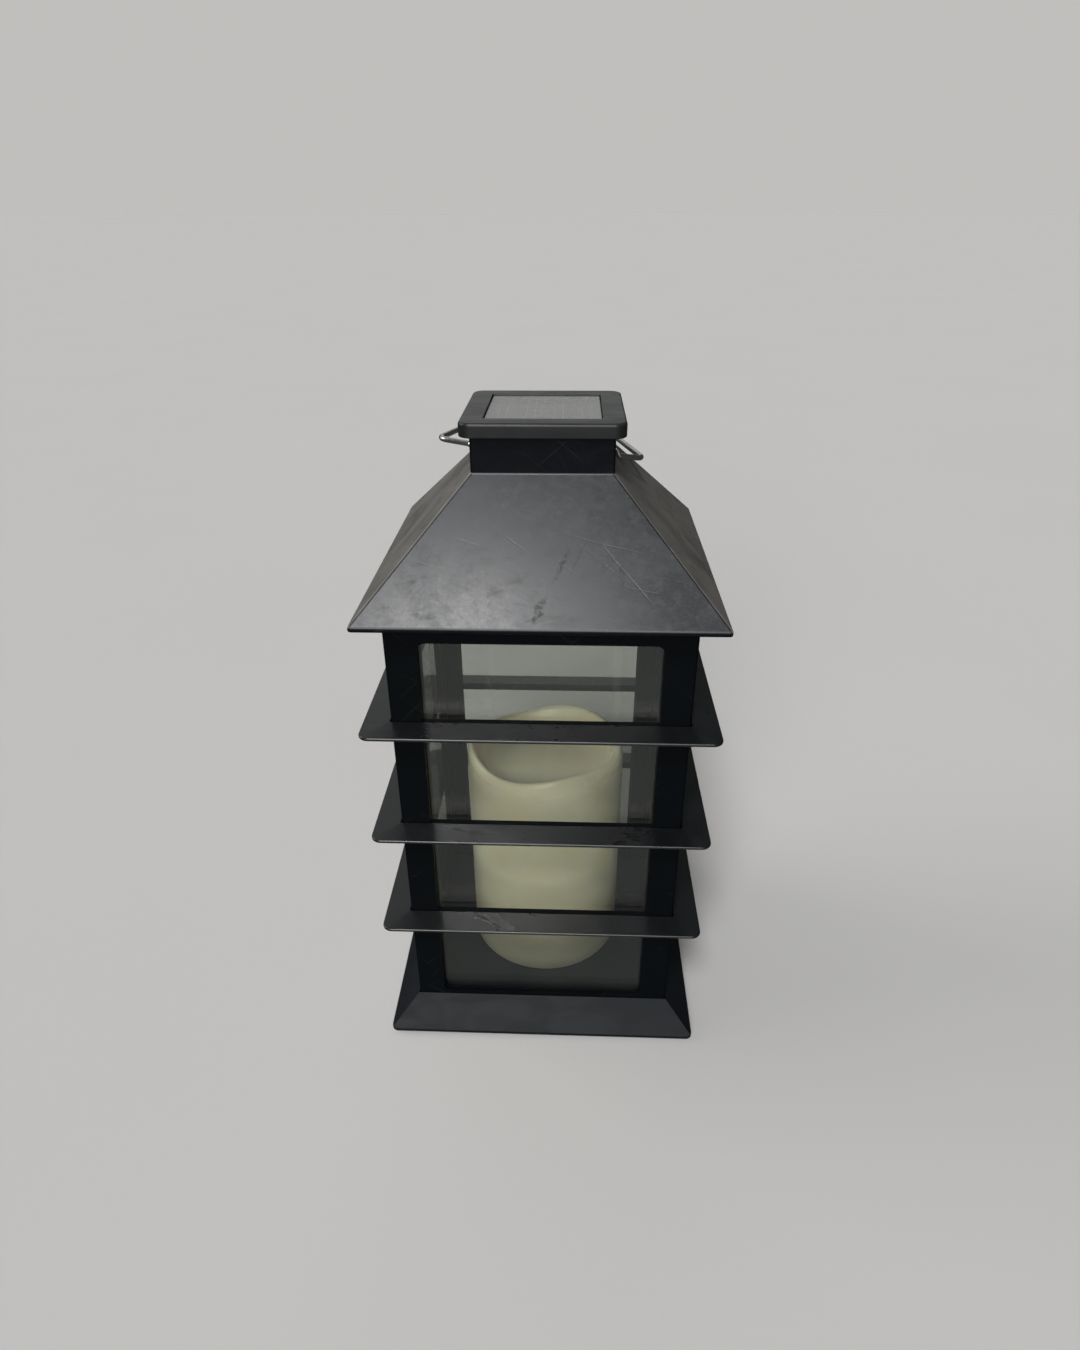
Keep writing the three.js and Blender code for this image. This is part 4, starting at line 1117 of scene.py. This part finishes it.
# ------------------------------------------------------------------ bail
def make_bail():
    """The wire handle lying back, a little askew, with its ends hooked inside the neck."""
    reach = box("bail_handle")[1].y - WIRE_RADIUS
    corners = [
        (-BAIL_HOOK_X, -BAIL_HOOK, BAIL_Z),
        (-BAIL_HOOK_X, 0, BAIL_Z),
        (-NECK_HALF - 1.7, 0, BAIL_Z),
        (-31.6, 0.3, BAIL_Z + 1.5),
        (-45.6, 7, BAIL_Z + 2.1),
        (-26, reach, BAIL_Z - 1),
        (25, reach, BAIL_Z - 7),
        (41.8, 7, BAIL_Z - 6),
        (31.2, 0.3, BAIL_Z - 3.4),
        (NECK_HALF + 1.7, 0, BAIL_Z),
        (BAIL_HOOK_X, 0, BAIL_Z),
        (BAIL_HOOK_X, -BAIL_HOOK, BAIL_Z),
    ]
    bends = [1.6, 1.3, 1.3, 5, 18]
    route = bent_route(corners, bends + bends[::-1])
    bail = tube("wire_bail", route, WIRE_RADIUS)
    dress(bail, WIRE, "bail", "steel_wire", "bail_handle")


# ------------------------------------------------------------------ stage
BACKDROP = (0.527, 0.521, 0.508, 1)
ROOM_GLOW = (0.95, 1.0, 0.97, 1)
WARM = (1, 0.97, 0.93)
FLOOR_REACH = 30
FLOOR_DROP = 0.0005


def make_stage():
    """A wide pale floor, in metres, just under the feet, that is clear when seen from below."""
    floor = bpy.data.meshes.new("floor")
    reach = FLOOR_REACH
    corners = [(-reach, -reach, 0), (reach, -reach, 0), (reach, reach, 0), (-reach, reach, 0)]
    floor.from_pydata(corners, [], [(0, 1, 2, 3)])
    plane = bpy.data.objects.new("floor", floor)
    plane.location.z = -FLOOR_DROP
    plane.visible_glossy = False
    plane.visible_diffuse = False
    plane.visible_shadow = False
    bpy.context.scene.collection.objects.link(plane)
    paint = Paint("pale_floor")
    tone = paint.mix(paint.noise(300, 3), (0.58, 0.58, 0.58), (0.60, 0.60, 0.60))
    paint.set(Base_Color=tone, Roughness=0.8)
    paint.surface.inputs["Specular IOR Level"].default_value = 0
    from_below = paint.node("ShaderNodeNewGeometry").outputs["Backfacing"]
    nothing = paint.node("ShaderNodeBsdfTransparent").outputs[0]
    one_sided = paint.node("ShaderNodeMixShader", {
        0: from_below, 1: paint.surface.outputs[0], 2: nothing,
    })
    paint.feed(paint.out.inputs["Surface"], one_sided.outputs[0])
    floor.materials.append(paint.material)


def sun(name, towards, strength, spread_degrees, tone=(1, 1, 1)):
    """A far soft lamp that stands in the given direction from the lantern."""
    lamp = bpy.data.lights.new(name, "SUN")
    lamp.energy = strength
    lamp.angle = math.radians(spread_degrees)
    lamp.color = tone
    holder = bpy.data.objects.new(name, lamp)
    holder.rotation_mode = "QUATERNION"
    holder.rotation_quaternion = Vector(towards).to_track_quat("Z", "Y")
    bpy.context.scene.collection.objects.link(holder)


def make_light():
    """Soft light from the front and left, with faint ones behind, low behind and underneath."""
    sun("key", (-0.14, -0.555, 0.81), 1.4, 13)
    sun("front_fill", (-0.12, -0.91, 0.385), 2.2, 40, WARM)
    sun("left_side", (-0.9, 0.1, 0.42), 1.05, 40, WARM)
    sun("rear", (-0.35, 0.6, 0.72), 0.3, 60)
    sun("low_glow", (-0.04, 0.98, 0.2), 0.08, 30)
    sun("underneath", (0.0, 0.12, -0.99), 0.45, 20)
    make_world()
    bpy.context.scene.view_settings.view_transform = "Standard"


def make_world():
    """A dim room with a pale floor glow low in front, and a plain pale backdrop behind it all."""
    world = bpy.data.worlds.new("studio")
    bpy.context.scene.world = world
    world.use_nodes = True
    tree = world.node_tree
    tree.nodes.clear()
    where = tree.nodes.new("ShaderNodeTexCoord").outputs["Generated"]
    parts = tree.nodes.new("ShaderNodeSeparateXYZ")
    tree.links.new(where, parts.inputs[0])
    ahead = ranged_value(tree, parts.outputs[1], -0.35, -0.95)
    below = ranged_value(tree, parts.outputs[2], 0.05, -0.25)
    glow = tree.nodes.new("ShaderNodeMath")
    glow.operation = "MULTIPLY"
    tree.links.new(ahead, glow.inputs[0])
    tree.links.new(below, glow.inputs[1])
    strength = tree.nodes.new("ShaderNodeMapRange")
    tree.links.new(glow.outputs[0], strength.inputs["Value"])
    strength.inputs["To Min"].default_value = 0.05
    strength.inputs["To Max"].default_value = 0.42
    room = tree.nodes.new("ShaderNodeBackground")
    room.inputs["Color"].default_value = ROOM_GLOW
    tree.links.new(strength.outputs[0], room.inputs["Strength"])
    pale = tree.nodes.new("ShaderNodeBackground")
    pale.inputs["Color"].default_value = BACKDROP
    rays = tree.nodes.new("ShaderNodeLightPath")
    both = tree.nodes.new("ShaderNodeMixShader")
    tree.links.new(rays.outputs["Is Camera Ray"], both.inputs[0])
    tree.links.new(room.outputs[0], both.inputs[1])
    tree.links.new(pale.outputs[0], both.inputs[2])
    out = tree.nodes.new("ShaderNodeOutputWorld")
    tree.links.new(both.outputs[0], out.inputs["Surface"])


def ranged_value(tree, value, low, high):
    """A smooth step from 0 to 1 while the value goes from low to high."""
    ranged = tree.nodes.new("ShaderNodeMapRange")
    ranged.interpolation_type = "SMOOTHSTEP"
    tree.links.new(value, ranged.inputs["Value"])
    ranged.inputs["From Min"].default_value = low
    ranged.inputs["From Max"].default_value = high
    return ranged.outputs[0]


make_roof()
make_cap()
make_louvres()
make_housing()
make_feet()
make_screws()
make_candle()
make_electrics()
make_bail()
make_stage()
make_light()
